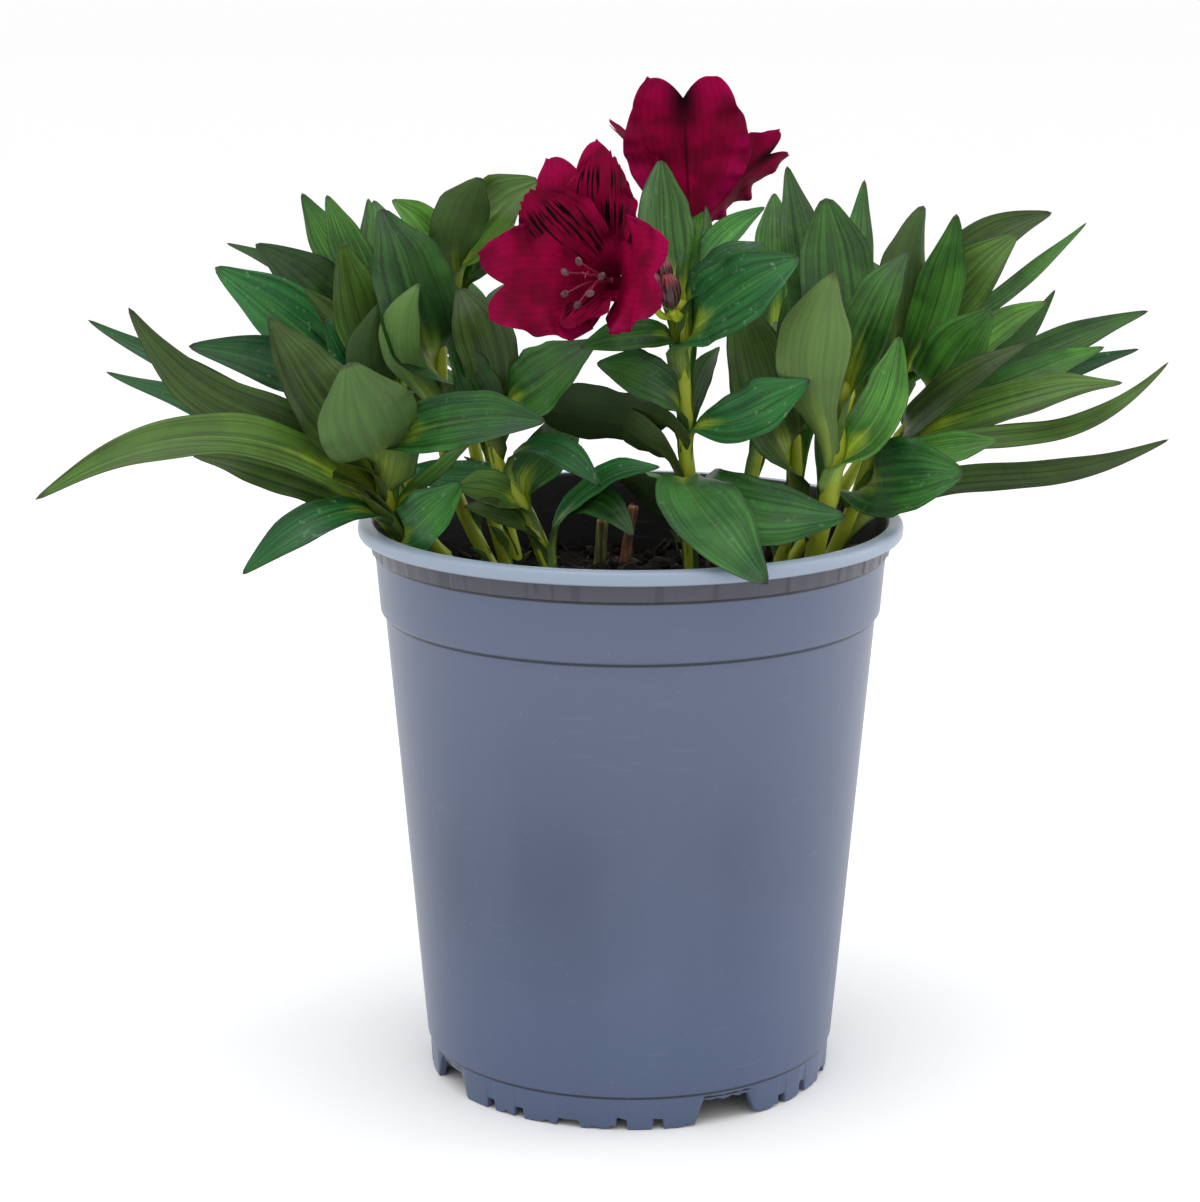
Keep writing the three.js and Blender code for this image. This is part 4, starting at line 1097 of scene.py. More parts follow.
def pot_floor():
    """The floor as a plate with drain holes: each eighth of it is a grid between a hole's circle
    and the eighth's outline, above, below and down the hole, and a small disc fills the middle."""
    out, core, sides = FOOT_RADIUS - WALL + 0.5, FLOOR_CORE, 8
    wide = np.pi / DRAIN_HOLES
    s = np.arange(sides) / sides
    edge = np.concatenate([
        np.stack([core + (out - core) * s, np.full(sides, -wide)], axis=-1),
        np.stack([np.full(sides, out), wide * (2 * s - 1)], axis=-1),
        np.stack([out + (core - out) * s, np.full(sides, wide)], axis=-1),
        np.stack([np.full(sides, core), wide * (1 - 2 * s)], axis=-1),
    ])
    line = polar(edge[:, 0], edge[:, 1])
    hole = np.array([DRAIN_CIRCLE, 0.0])
    circle = hole + unit(line - hole) * DRAIN_RADIUS
    steps = np.linspace(0, 1, 5)[:, None, None]
    grid = line + (circle - line) * steps
    high, low = FOOT_HEIGHT, FOOT_HEIGHT - FLOOR
    top = np.concatenate([grid, np.full(grid.shape[:2] + (1,), high)], axis=-1)
    under = np.concatenate([grid[::-1], np.full(grid.shape[:2] + (1,), low)], axis=-1)
    rings = np.concatenate([top, under])
    points, quads, fans = [], [], []
    for i in range(DRAIN_HOLES):
        c, n = np.cos(2 * wide * i), np.sin(2 * wide * i)
        spun = rings @ np.array([[c, n, 0], [-n, c, 0], [0, 0, 1]])
        made = shell(spun, loop=True)
        quads.append(made[1] + sum(len(p) for p in points))
        points.append(made[0])
    points, quads = np.vstack(points), np.vstack(quads)
    middle = points[quads].mean(axis=1)
    reach, turn = np.hypot(middle[:, 0], middle[:, 1]), np.arctan2(middle[:, 1], middle[:, 0])
    closing = np.abs(middle[:, 2] - (high + low) / 2) < 0.1
    between = (reach > core + 0.05) & (reach < out - 0.05)
    seam = closing & (np.abs((turn / wide) % 2 - 1) < 0.02) & between
    inner = closing & (reach < core + 0.05)
    quads = quads[~(seam | inner)]
    angles = (np.arange(DRAIN_HOLES * sides) / (DRAIN_HOLES * sides) * 2 - 1.0 / DRAIN_HOLES) * np.pi
    count = len(angles)
    ring = np.arange(count)
    after = (ring + 1) % count
    for z, flip in ((high, False), (low, True)):
        start = len(points)
        points = np.vstack([points, polar(core, angles, z), [[0, 0, z]]])
        tri = np.stack([start + ring, start + after, np.full(count, start + count)], axis=-1)
        fans.append(tri[:, ::-1] if flip else tri)
    fans = np.vstack(fans)
    places, first = np.unique(np.round(points, 3), axis=0, return_inverse=True)
    first = first.reshape(-1)
    return places, first[quads], first[fans], {"blade": np.zeros((len(places), 3))}


# ---------------------------------------------------------------- the soil


def soil_height(x, y):
    """The soil's surface: its broad lumps, and finer ones, smaller towards the rim."""
    broad = np.sin(0.31 * x + 1.2) * np.sin(0.27 * y) + np.sin(0.13 * (x - y))
    place = np.stack([x, y, np.zeros_like(x)], axis=-1)
    fine = 0.9 * lumps(place, 9, 5, 3) + 0.35 * lumps(place, 2.6, 6, 2)
    return SOIL_TOP + SOIL_LUMP * broad + fine


def sunk_by(radius):
    """How far the soil's surface sinks towards the pot's wall."""
    return SHOULDER_DROP * (1 - ease(SOIL_RADIUS - radius, 1, SOIL_SHOULDER))


def soil_body():
    """The soil as a closed body: across the bottom, up its side and in over the lumpy top."""
    low = FOOT_HEIGHT + CLEAR
    turn = np.arange(SOIL_COLUMNS) * 2 * np.pi / SOIL_COLUMNS
    side = [(6, low), (40, low), (FOOT_RADIUS - WALL - CLEAR, low), (70, 80)]
    side += [(SOIL_RADIUS, STEP_HEIGHT), (SOIL_RADIUS - 1, SOIL_TOP - 2)]
    top = [(r, None) for r in np.linspace(SOIL_RADIUS - 2.5, 1, SOIL_RINGS)]
    rings = []
    for radius, z in side + top:
        if z is None:
            z = soil_height(*polar(radius, turn).T) - sunk_by(radius)
        rings.append(polar(radius, turn, z))
    return shell(np.stack(rings), {"blade": (0, 0, 0)})


def soil_crumbs(count, draw):
    """Crumbs and bark chips: small uneven lumps of four rings with seeded sizes and turns, half
    sunk in the surface, away from the stems."""
    feet = [shoot["path"][1][:2] for shoot in SHOOTS.values()]
    feet = np.array(feet + [path[1][:2] for path, radius in STUBS.values()])
    picks = []
    radius = (SOIL_RADIUS - 3) * np.sqrt(draw.uniform(0, 1, count))
    turn = draw.uniform(0, 2 * np.pi, count)
    spot = polar(radius, turn)
    away = np.min(np.linalg.norm(spot[:, None] - feet[None], axis=-1), axis=1)
    parts = []
    for x, y in spot[away > STEM_GAP]:
        chip = draw.uniform() < CHIP_SHARE
        size = draw.uniform(*CRUMB_SIZE, 3) * (CHIP_FORM if chip else CRUMB_FORM)
        s = np.array([-1.0, -0.4, 0.4, 1.0])[:, None]
        a = np.arange(6) * np.pi / 3
        bulge = np.sqrt(1.12 - s * s) * draw.uniform(0.7, 1.2, (4, 6))
        local = np.stack([s + 0 * a, bulge * np.cos(a), bulge * np.sin(a)], axis=-1) * size
        axes = np.linalg.qr(draw.normal(size=(3, 3)) + np.diag([0, 0, 2.0]))[0]
        axes = axes * np.sign(np.linalg.det(axes))
        z = soil_height(np.array(x), np.array(y)) - sunk_by(np.hypot(x, y))
        parts.append(shell(local @ axes.T + [x, y, z + 0.2 * size.min()], {"blade": (0, 0, 0)}))
        picks.append(int(chip))
    return parts, picks


def root_threads(count, draw):
    """Thin roots that lie over the crumbs in short bends."""
    parts = []
    for _ in range(count):
        radius, turn = (SOIL_RADIUS - 12) * np.sqrt(draw.uniform()), draw.uniform(0, 2 * np.pi)
        heading = draw.uniform(0, 2 * np.pi)
        point = polar(radius, turn)
        path = []
        for _ in range(5):
            z = soil_height(point[:1], point[1:])[0] + draw.uniform(-0.2, 1.1)
            path.append([point[0], point[1], z])
            heading += draw.uniform(-0.7, 0.7)
            point = point + polar(draw.uniform(*ROOT_STEP), heading)
            point = point * min(1, (SOIL_RADIUS - 6) / np.linalg.norm(point))
        path[0][2] -= 1.5
        path[-1][2] -= 1.5
        thick = draw.uniform(*ROOT_RADIUS)
        parts.append(tube(path, [(0, thick), (1, thick * 0.4)], 6, 14))
    return parts


# ---------------------------------------------------------------- shoots


def seeded(state):
    """Even draws from 0 to 1: each state is the last one times 16807, modulo 2^31 - 1, and each
    draw is the state over that modulus."""
    while True:
        state = state * FACTOR % MODULUS
        yield state / MODULUS


def drawn_leaves(shoot, draws):
    """The leaves on the far sides of a shoot, by turns round its sector, with drawn rise, reach,
    width, bow and roll."""
    made = []
    count, start, stop, length = shoot["more"]
    for i in range(count):
        share = 0.62 + 0.36 * (i + next(draws)) / count
        azimuth = np.radians((i * GOLDEN) % 1 * (stop - start) + start)
        rise = np.radians(34 + 46 * share * next(draws))
        reach = length * (0.8 + 0.4 * next(draws))
        root = along_path(shoot["path"], share)[0]
        tip = root + polar(reach * np.cos(rise), azimuth, reach * np.sin(rise))
        tip[1] = min(tip[1], BACK_REACH)
        width = min(reach * 0.28, 10 + 6 * next(draws))
        bow = 2 + 3 * next(draws)
        made.append([share, list(tip), width, bow, 0, 30 * (next(draws) - 0.5), "lance"])
    return made


LEAF_SHAPE = dict(
    thick=0.62, wave=0.085, waves=2.1, quilt=0.05, veins=7, midrib=0.3, curl=1.3, twist=10
)
TEPAL_SHAPE = dict(thick=0.5, quilt=0.05, veins=9, midrib=0.25, curl=0, twist=0)
TEPAL_SHAPES = {
    "heart": dict(TEPAL_SHAPE, wave=0.1, waves=3.4),
    "spoon": dict(TEPAL_SHAPE, wave=0.17, waves=2.6),
}


def shoot_parts(shoot, draws, number):
    """A stem, its small clasping scales and its leaves."""
    path, (foot, top) = shoot["path"], shoot["radius"]
    length = np.linalg.norm(np.diff(np.array(path, float), axis=0), axis=1).sum()
    leaves, tones = list(shoot["leaves"]), shoot["tones"]
    if "more" in shoot:
        leaves += drawn_leaves(shoot, draws)
    shares = sorted(leaf[0] for leaf in leaves)
    radii = []
    for s in np.linspace(0, 1, 60):
        swell = 1 + NODE_SWELL * sum(bell(s, share, NODE_SPREAD) for share in shares)
        radii.append((s, (foot + (top - foot) * s) * swell))
    parts = [tube(path, radii, 18, 70, (0, 1, 0), ridge=0.035)]
    for i, leaf in enumerate(leaves):
        draw = np.random.default_rng(1000 * number + i)
        share = leaf[0]
        root = along_path(path, share)[0]
        size = np.linalg.norm(np.array(leaf[1]) - root)
        tone = np.array(TONES[tones[i]] if i < len(tones) else TONES["g"])
        rows = int(np.clip(size / ROW_LENGTH, 18, 46))
        columns = 14 if leaf[2] > WIDE_LEAF else 10
        radius = foot + (top - foot) * share
        run = min(0.16, 11 / length, share * 0.6)
        stem = (path, share, radius, run)
        grid = (rows, columns)
        parts.append(blade(root, leaf[1:], UP, LEAF_TROUGH, LEAF_SHAPE, grid, draw, stem, tone))
    for i in range(3 if length > 60 else 1):
        draw = np.random.default_rng(SEEDS["scales"] + 1000 * number + i)
        share = 0.16 + 0.13 * i
        root, climb = along_path(path, share)
        turn = draw.uniform(0, 2 * np.pi)
        out = unit(polar(1, turn, 0))
        tip = root + climb * draw.uniform(*SCALE_LENGTH) + out * draw.uniform(*SCALE_OUT)
        spec = [tip, SCALE_WIDTH, 0.6, 0, 0, "lance"]
        stem = (path, share, foot, 0.06)
        parts.append(blade(root, spec, UP, 0.5, LEAF_SHAPE, (12, 8), draw, stem, TONES["y"]))
    return parts


def stalk_parts():
    """The stalks at the top of the flowering stem: one to each bloom with its ribbed seed case and
    one to each of two buds."""
    top = np.array(SHOOTS["flowering_stem"]["path"][-1], float)
    foot = top - [0, 0, 4]
    tone = (0, 1.1, 0)
    parts = []
    for bloom in BLOOMS.values():
        facing = unit(np.array(bloom["facing"]))
        case = bloom["heart"] - facing * (HEART_RADIUS + CLEAR + OVARY_RADIUS * OVARY_STRETCH)
        middle = (case - facing * 6) * 0.75 + top * 0.25
        parts.append(tube([foot, middle, case], [(0, 1.3), (1, STALK_RADIUS)], 12, 40, tone))
        part = ball(case, OVARY_RADIUS, OVARY_STRETCH, facing, 20, 36, tone, ribs=6, rib=0.09)
        part[3]["blade"][:, 1] = part[3]["blade"][:, 1] * 0.6 + 0.4
        parts.append(part)
    point = unit(np.array(BUD_POINT))
    for middle, radius, stretch in BUDS[:2]:
        end = middle - point * (radius * stretch + CLEAR)
        bend = (end - point * 5) * 0.7 + top * 0.3
        parts.append(tube([foot, bend, end], [(0, 1.2), (0.8, 1.0), (1, 1.35)], 12, 30, tone))
    return parts


# ---------------------------------------------------------------- blooms


def bloom_parts(bloom, stained, seed):
    """The heart and six tepals of a bloom: three broad ones with two lobes, three narrow streaked
    ones."""
    facing = unit(np.array(bloom["facing"]))
    heart = np.array(bloom["heart"], float)
    parts = [ball(heart, HEART_RADIUS, 1, facing, 14, 24, (0, 0.7, 0))]
    for i, tepal in enumerate(bloom["tepals"]):
        draw = np.random.default_rng(seed + i)
        chord = np.array(tepal[0]) - heart
        root = heart + unit(chord - facing * (chord @ facing)) * ROOT_OUT
        broad = tepal[5] == "heart"
        shape = TEPAL_SHAPES[tepal[5]]
        tone = (0, 1.0, stained) if broad else (1, 0.9, 0)
        grid = (46, 40) if broad else (40, 24)
        spec = [tepal[0], tepal[1] * (1 if broad else SPOON_FLARE), *tepal[2:]]
        parts.append(blade(root, spec, facing, TEPAL_TROUGH, shape, grid, draw, None, tone))
    return parts


def stamen_parts(bloom, seed):
    """Six threads that fan out of a knob in front of the heart, each with a pollen head of two
    lobes, and the paler style between them, which ends in three short arms."""
    draw = np.random.default_rng(seed)
    facing = unit(np.array(bloom["facing"]))
    knob = bloom["heart"] + facing * (HEART_RADIUS + CLEAR + KNOB_RADIUS)
    side = unit(np.cross(facing, UP))
    rise = np.cross(side, facing)
    parts = [ball(knob, KNOB_RADIUS, 1, facing, 10, 16, (0, 0.8, 0))]
    for i in range(STAMENS):
        turn = 2 * np.pi * (i + 0.5) / STAMENS
        length = STAMEN_LENGTH + 3 * np.sin(2.4 * i)
        out = side * np.cos(turn) + rise * np.sin(turn)
        middle = knob + facing * length * 0.55 + out * STAMEN_FAN * 0.35 - UP * STAMEN_DROOP * 0.3
        end = knob + facing * length + out * STAMEN_FAN - UP * STAMEN_DROOP
        radii = [(0, 0.45), (0.6, 0.36), (1, 0.22)]
        parts.append(tube([knob, middle, end], radii, 8, 26, (0, 1, 0)))
        axis = unit(out + draw.normal(size=3) * 0.5)
        tone = (1, draw.uniform(0.6, 1.15), 0)
        parts.append(ball(end, HEAD_RADIUS, HEAD_STRETCH, axis, 14, 16, tone, ribs=2, rib=0.16))
    end = knob + facing * STYLE_LENGTH - UP
    parts.append(tube([knob, knob + facing * 8, end], [(0, 0.45), (1, 0.3)], 8, 20, (0, 1.25, 0)))
    for turn in (0.4, 2.5, 4.6):
        arm = end + facing * 1.4 + (side * np.cos(turn) + rise * np.sin(turn)) * 1.3
        path = [end - facing * 0.4, end + facing * 0.7, arm]
        parts.append(tube(path, [(0, 0.28), (1, 0.16)], 6, 8, (0, 1.3, 0)))
    return parts


def bud_parts():
    """Closed buds: the tepals' edges wind up each as three ridges, over a ribbed body with a
    drawn-out tip."""
    parts = []
    for i, (middle, radius, stretch) in enumerate(BUDS):
        point = unit(np.array(BUD_POINT) + np.array([0.05, -0.04, 0]) * (i - 1))
        centre = np.array(middle, float)
        parts.append(ball(centre, radius * 0.98, stretch, point, 34, 48, ribs=3, rib=0.075, wind=2.6))
        top = centre + point * radius * stretch * 0.93
        path = [top - point * 1.2, top, top + point * 0.8]
        parts.append(tube(path, [(0, 1.1), (0.6, 0.7), (1, 0.35)], 10, 12, (0, 1, 0)))
    return parts


def stub_parts(path, radius, seed):
    """A dry stub with fibres along it, frayed at its cut end into splinters."""
    draw = np.random.default_rng(seed)
    top = np.array(path[-1], float)
    low = [list(p) for p in path[:-1]] + [list(top - [0, 0, 1.2])]
    radii = [(0, radius), (0.5, radius * 0.94), (1, radius * 0.9)]
    parts = [tube(low, radii, 22, 40, ridge=0.06, ridges=9, round_end=False)]
    for _ in range(SPLINTERS):
        turn = draw.uniform(0, 2 * np.pi)
        out = polar(1, turn, 0) * radius * 0.62
        foot = top + out - [0, 0, 4]
        end = top + out * 0.9 - [0, 0, draw.uniform(0.1, 1.0)]
        parts.append(tube([foot, (foot + end) / 2, end], [(0, 0.5), (1, 0.18)], 6, 8))
    return parts


# ---------------------------------------------------------------- settings and operators


def colour(name, description, value):
    """A colour that a user can change."""
    return bpy.props.FloatVectorProperty(
        name=name, description=description, subtype="COLOR", size=4, min=0, max=1, default=rgb(*value)
    )


class LilyPotSettings(bpy.types.PropertyGroup):
    """The pot and its soil"""

    plastic: colour("Plastic", "Colour of the pot's outside", (0.07, 0.092, 0.155))
    plastic_edge: colour("Plastic flow", "Colour of the flow marks", (0.084, 0.109, 0.18))
    inside: colour("Inside", "Colour of the pot's inside", (0.003, 0.003, 0.004))
    upper: colour("Upper wall", "Colour of the wall's upper part", (0.104, 0.127, 0.2))
    lower: colour("Lower wall", "Colour of the wall's lower part", (0.076, 0.108, 0.19))
    # The lip's colour is a painted highlight, paler than the plastic.
    lip: colour("Lip", "Colour of the lip", (0.27, 0.33, 0.42))
    # The band's colour is painted shade under the lip and a painted reflection of the floor.
    band: colour("Band", "Colour of the band under the lip", (0.062, 0.06, 0.072))
    # Painted shadow: the colour of the dark lines in the pot's creases and of the ticks under the
    # lip.
    crease_shade: colour("Creases", "Colour of the dark lines and ticks", (0.012, 0.013, 0.018))
    gloss: bpy.props.FloatProperty(
        name="Roughness", description="Roughness of the plastic", default=0.3, min=0.1, max=1
    )
    columns: bpy.props.IntProperty(
        name="Columns", description="Faces round the pot", default=216, min=48, max=512
    )
    soil_dark: colour("Wet soil", "Darkest colour of the soil", (0.0012, 0.0009, 0.0008))
    soil_light: colour("Dry soil", "Lightest colour of the soil", (0.009, 0.006, 0.004))
    speck: colour("Specks", "Colour of the pale specks in the soil", (0.08, 0.06, 0.04))
    bark: colour("Bark", "Colour of the bark chips", (0.03, 0.014, 0.008))
    root: colour("Roots", "Colour of the root threads", (0.07, 0.042, 0.022))
    crumbs: bpy.props.IntProperty(
        name="Crumbs", description="Number of crumbs on the soil", default=620, min=0, max=1500
    )


class LilyLeafSettings(bpy.types.PropertyGroup):
    """The stems and leaves"""

    deep_green: colour("Deep green", "Darkest leaf green", (0.012, 0.054, 0.006))
    mid_green: colour("Mid green", "Lighter leaf green", (0.038, 0.14, 0.013))
    blue_green: colour("Blue green", "Green of the bluish leaves", (0.01, 0.1, 0.028))
    olive_green: colour("Olive green", "Green of the olive leaves", (0.055, 0.09, 0.014))
    pale_foot: colour("Leaf foot", "Colour of a leaf's foot", (0.46, 0.58, 0.035))
    vein: colour("Veins", "Colour of the midrib and veins", (0.1, 0.21, 0.04))
    underside: colour("Underside", "Colour of a leaf's underside", (0.09, 0.15, 0.045))
    dark_rim: colour("Rim", "Colour of a leaf's rim and tip", (0.022, 0.014, 0.011))
    stem: colour("Stem", "Colour of the stems", (0.48, 0.56, 0.035))
    stem_foot: colour("Stem foot", "Colour of a stem's foot", (0.42, 0.4, 0.05))
    gloss: bpy.props.FloatProperty(
        name="Roughness", description="Roughness of a leaf's upper side", default=0.38, min=0.1, max=1
    )


class LilyBloomSettings(bpy.types.PropertyGroup):
    """The blooms and buds"""

    crimson: colour("Crimson", "Colour of the tepals", (0.25, 0.0005, 0.034))
    deep_crimson: colour("Deep crimson", "Darker colour of the tepals", (0.11, 0.0008, 0.014))
    # Partly painted sheen: the margins are made pinker and lighter than the tepal.
    magenta: colour("Margins", "Colour of the tepals' margins", (0.32, 0.002, 0.075))
    streak: colour("Streaks", "Colour of the dark streaks", (0.008, 0.0005, 0.003))
    throat: colour("Throat", "Colour of a tepal's foot", (0.14, 0.004, 0.018))
    thread_foot: colour("Thread foot", "Colour of a stamen's foot", (0.22, 0.01, 0.03))
    thread: colour("Thread", "Colour of the stamens' threads", (0.2, 0.012, 0.035))
    pollen: colour("Pollen", "Colour of the pollen heads", (0.13, 0.06, 0.065))
    pollen_dark: colour("Pollen shade", "Darker colour of the pollen heads", (0.04, 0.015, 0.02))
    bud: colour("Bud", "Colour of the buds", (0.05, 0.005, 0.012))
    bud_tip: colour("Bud tip", "Colour of the buds' tips", (0.26, 0.008, 0.025))
    bud_foot: colour("Bud foot", "Colour of the buds' feet", (0.07, 0.06, 0.02))


class LilyStubSettings(bpy.types.PropertyGroup):
    """The cut stubs"""

    olive_light: colour("Olive stub", "Lighter colour of the olive stub", (0.2, 0.2, 0.05))
    olive_dark: colour("Olive stub shade", "Darker colour of the olive stub", (0.07, 0.06, 0.02))
    brown_light: colour("Brown stub", "Lighter colour of the brown stub", (0.34, 0.14, 0.06))
    brown_dark: colour("Brown stub shade", "Darker colour of the brown stub", (0.1, 0.04, 0.02))


WATTS = {"subtype": "POWER", "unit": "POWER"}


class LilyStageSettings(bpy.types.PropertyGroup):
    """The floor, the lights and the camera"""

    floor: colour("Floor", "Colour of the floor", (0.96, 0.96, 0.96))
    sky: bpy.props.FloatProperty(
        name="Sky", description="Strength of the even light", default=1.04, min=0
    )
    top_light: bpy.props.FloatProperty(
        name="Top light", description="Power of the light above", default=6, min=0, **WATTS
    )
    side_light: bpy.props.FloatProperty(
        name="Side lights", description="Power of the lights beside", default=5, min=0, **WATTS
    )
    lens: bpy.props.FloatProperty(
        name="Lens",
        description="Focal length of the camera",
        subtype="DISTANCE_CAMERA",
        default=88.44,
        min=10,
    )


class LILY_OT_pot(bpy.types.Operator):
    """Builds the pot's wall, foot, lip and floor"""

    bl_idname = "lily.pot"
    bl_label = "Pot"

    def execute(self, context):
        look = context.scene.lily_pot
        outside = plastic_finish("pot_plastic", look, look.plastic, look.plastic_edge, look.gloss)
        inside = plastic_finish("pot_inside", None, look.inside, look.inside, look.gloss + 0.1)
        wall, within = pot_wall(look.columns)
        parts, finishes = [wall, pot_floor()], [outside, inside]
        make_piece("nursery_pot", parts, finishes, "pot", [within, 1])
        return {"FINISHED"}


class LILY_OT_soil(bpy.types.Operator):
    """Builds the soil with its crumbs, bark chips and roots"""

    bl_idname = "lily.soil"
    bl_label = "Soil"

    def execute(self, context):
        look = context.scene.lily_pot
        finishes = [
            soil_finish(look),
            bark_finish("bark_chip", look.bark, look.soil_light),
            bark_finish("root_thread", look.root, look.bark),
        ]
        crumbs, picks = soil_crumbs(look.crumbs, np.random.default_rng(SEEDS["crumbs"]))
        roots = root_threads(ROOTS, np.random.default_rng(SEEDS["roots"]))
        parts = [soil_body()] + crumbs + roots
        picks = [0] + picks + [2] * len(roots)
        make_piece("lumpy_soil", parts, finishes, "potting_soil", picks)
        return {"FINISHED"}


class LILY_OT_shoots(bpy.types.Operator):
    """Builds the leafy shoots and the flowering stem"""

    bl_idname = "lily.shoots"
    bl_label = "Shoots"

    def execute(self, context):
        finish = leaf_finish(context.scene.lily_leaf)
        draws = seeded(FIRST_STATE)
        for number, (name, shoot) in enumerate(SHOOTS.items()):
            parts = shoot_parts(shoot, draws, number)
            if name == "flowering_stem":
                parts += stalk_parts()
            make_piece("leafy_" + name, parts, [finish], name)
        return {"FINISHED"}


class LILY_OT_blooms(bpy.types.Operator):
    """Builds the tepals of both blooms"""

    bl_idname = "lily.blooms"
    bl_label = "Blooms"

    def execute(self, context):
        finish = tepal_finish(context.scene.lily_bloom)
        for number, (name, bloom) in enumerate(BLOOMS.items()):
            parts = bloom_parts(bloom, number, SEEDS["tepals"] + 10 * number)
            make_piece(name + "_petals", parts, [finish], name + "_tepals")
        return {"FINISHED"}


class LILY_OT_stamens(bpy.types.Operator):
    """Builds the stamens and styles of both blooms"""

    bl_idname = "lily.stamens"
    bl_label = "Stamens"

    def execute(self, context):
        finish = stamen_finish(context.scene.lily_bloom)
        for number, (name, bloom) in enumerate(BLOOMS.items()):
            parts = stamen_parts(bloom, SEEDS["stamens"] + number)
            make_piece(name + "_threads", parts, [finish], name + "_stamens")
        return {"FINISHED"}


class LILY_OT_buds(bpy.types.Operator):
    """Builds the knot of buds"""

    bl_idname = "lily.buds"
    bl_label = "Buds"

    def execute(self, context):
        finish = bud_finish(context.scene.lily_bloom)
        make_piece("bud_knot", bud_parts(), [finish], "flower_buds")
        return {"FINISHED"}


class LILY_OT_stubs(bpy.types.Operator):
    """Builds the two cut stubs"""

    bl_idname = "lily.stubs"
    bl_label = "Stubs"

    def execute(self, context):
        look = context.scene.lily_stub
        tones = [(look.olive_light, look.olive_dark), (look.brown_light, look.brown_dark)]
        for number, (name, (light, dark)) in enumerate(zip(STUBS, tones)):
            finish = stub_finish("dry_" + name, light, dark)
            parts = stub_parts(*STUBS[name], SEEDS["stubs"] + number)
            make_piece("frayed_" + name, parts, [finish], name)
        return {"FINISHED"}


def add_area(name, place, size, power):
    """A soft four-sided light at a place, turned to the lily."""
    data = bpy.data.lights.new(name, "AREA")
    data.shape = "RECTANGLE"
    data.size, data.size_y = size
    data.energy = power
    made = bpy.data.objects.new(name, data)
    made.location = place
    away = mathutils.Vector(place) - mathutils.Vector(LIGHT_AIM)
    made.rotation_euler = away.to_track_quat("Z", "Y").to_euler()
    bpy.context.scene.collection.objects.link(made)


CAMERA_PLACE = (0, -0.896, 0.349)
CAMERA_DOWN = 12.57
CAMERA_TURN = 0.6
SENSOR_WIDTH = 36
SWEEP_START = 9.0
SWEEP_RADIUS = 0.8
FLOOR_HALF = 8
LIGHT_AIM = (0, 0, 0.2)
# The lights: place, size, the setting for the power, and the share of it
LIGHTS = {
    "top_light": ((-0.15, -0.35, 1.5), (1.2, 1.0), "top_light", 1),
    "left_light": ((-1.3, 0.35, 0.5), (0.7, 1.2), "side_light", 0.3),
    "right_light": ((1.3, 0.35, 0.5), (0.7, 1.2), "side_light", 1),
}


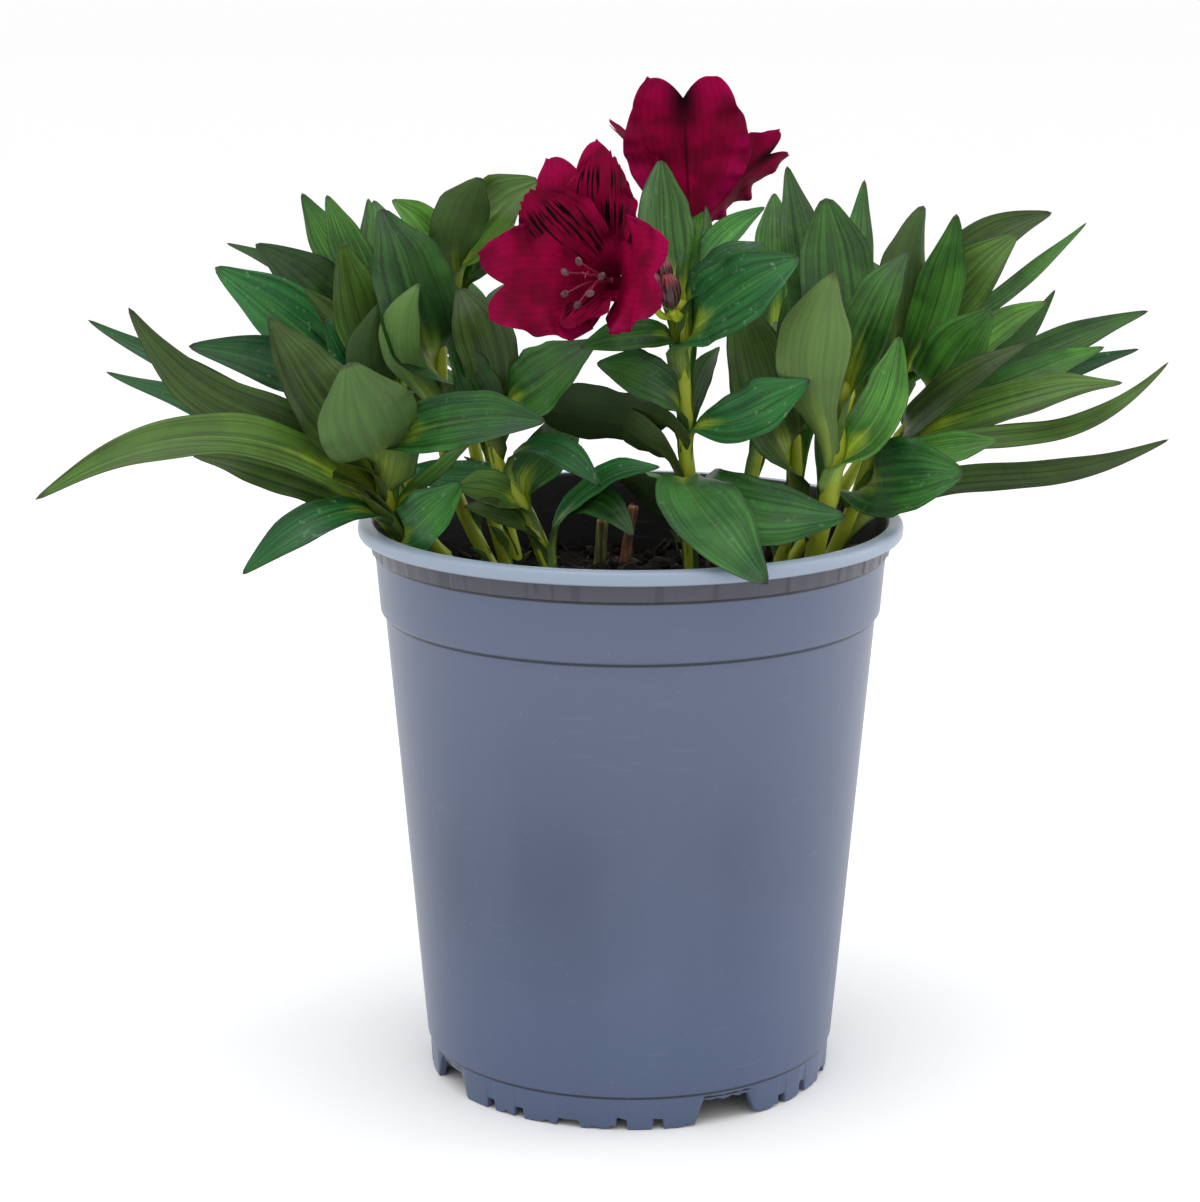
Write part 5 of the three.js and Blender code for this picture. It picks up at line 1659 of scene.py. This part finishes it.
class LILY_OT_stage(bpy.types.Operator):
    """Builds the floor that sweeps up behind, the lights and the camera"""

    bl_idname = "lily.stage"
    bl_label = "Stage"

    def execute(self, context):
        look = context.scene.lily_stage
        scene = context.scene
        sweep = np.linspace(0, np.pi / 2, 24)
        back = SWEEP_START + SWEEP_RADIUS * np.sin(sweep)
        y = np.concatenate([[-3, -1, 0, 1], back, back[-1:]])
        climb = SWEEP_RADIUS * (1 - np.cos(sweep))
        z = np.concatenate([[0, 0, 0, 0], climb, [1.2]])
        x = np.linspace(-FLOOR_HALF, FLOOR_HALF, 9)
        grid = np.stack(np.broadcast_arrays(x[None], y[:, None], z[:, None]), axis=-1)
        count = len(x)
        here = np.arange(len(y) - 1)[:, None] * count + np.arange(count - 1)
        quads = np.stack([here, here + 1, here + count + 1, here + count], axis=-1).reshape(-1, 4)
        mesh = bpy.data.meshes.new("floor_sweep")
        mesh.from_pydata(grid.reshape(-1, 3), [], quads.tolist())
        mesh.polygons.foreach_set("use_smooth", np.ones(len(quads), bool))
        mesh.materials.append(floor_finish(look))
        floor = bpy.data.objects.new("floor_sweep", mesh)
        scene.collection.objects.link(floor)
        world = bpy.data.worlds.new("soft_sky")
        world.use_nodes = True
        sky = world.node_tree.nodes["Background"]
        sky.inputs[0].default_value = (1, 1, 1, 1)
        sky.inputs[1].default_value = look.sky
        scene.world = world
        for name, (place, size, setting, share) in LIGHTS.items():
            add_area(name, place, size, getattr(look, setting) * share)
        lens = bpy.data.cameras.new("camera")
        lens.lens = look.lens
        lens.sensor_width = SENSOR_WIDTH
        camera = bpy.data.objects.new("camera", lens)
        camera.location = CAMERA_PLACE
        camera.rotation_euler = np.radians([90 - CAMERA_DOWN, 0, CAMERA_TURN])
        scene.collection.objects.link(camera)
        scene.camera = camera
        scene.view_settings.view_transform = "Standard"
        return {"FINISHED"}


class LILY_PT_parts(bpy.types.Panel):
    """Lists the lily's parts and their settings"""

    bl_label = "Potted lily"
    bl_idname = "LILY_PT_parts"
    bl_space_type = "VIEW_3D"
    bl_region_type = "UI"
    bl_category = "Lily"

    def draw(self, context):
        for operator in OPERATORS:
            self.layout.operator(operator.bl_idname)
        for name, group in SETTINGS.items():
            box = self.layout.box()
            box.label(text=group.__doc__)
            for key in group.__annotations__:
                box.prop(getattr(context.scene, name), key)


SETTINGS = {
    "lily_pot": LilyPotSettings,
    "lily_leaf": LilyLeafSettings,
    "lily_bloom": LilyBloomSettings,
    "lily_stub": LilyStubSettings,
    "lily_stage": LilyStageSettings,
}
OPERATORS = [
    LILY_OT_pot,
    LILY_OT_soil,
    LILY_OT_shoots,
    LILY_OT_blooms,
    LILY_OT_stamens,
    LILY_OT_buds,
    LILY_OT_stubs,
    LILY_OT_stage,
]


def register():
    """Adds the settings, the operators and the panel to Blender."""
    for kind in [*SETTINGS.values(), *OPERATORS, LILY_PT_parts]:
        bpy.utils.register_class(kind)
    for name, group in SETTINGS.items():
        setattr(bpy.types.Scene, name, bpy.props.PointerProperty(type=group))


def unregister():
    """Takes them out again."""
    for name in SETTINGS:
        delattr(bpy.types.Scene, name)
    for kind in [LILY_PT_parts, *reversed(OPERATORS), *SETTINGS.values()]:
        bpy.utils.unregister_class(kind)


def main():
    """Builds every part."""
    register()
    for operator in OPERATORS:
        getattr(bpy.ops.lily, operator.bl_idname.split(".")[1])()


if __name__ == "__main__":
    main()
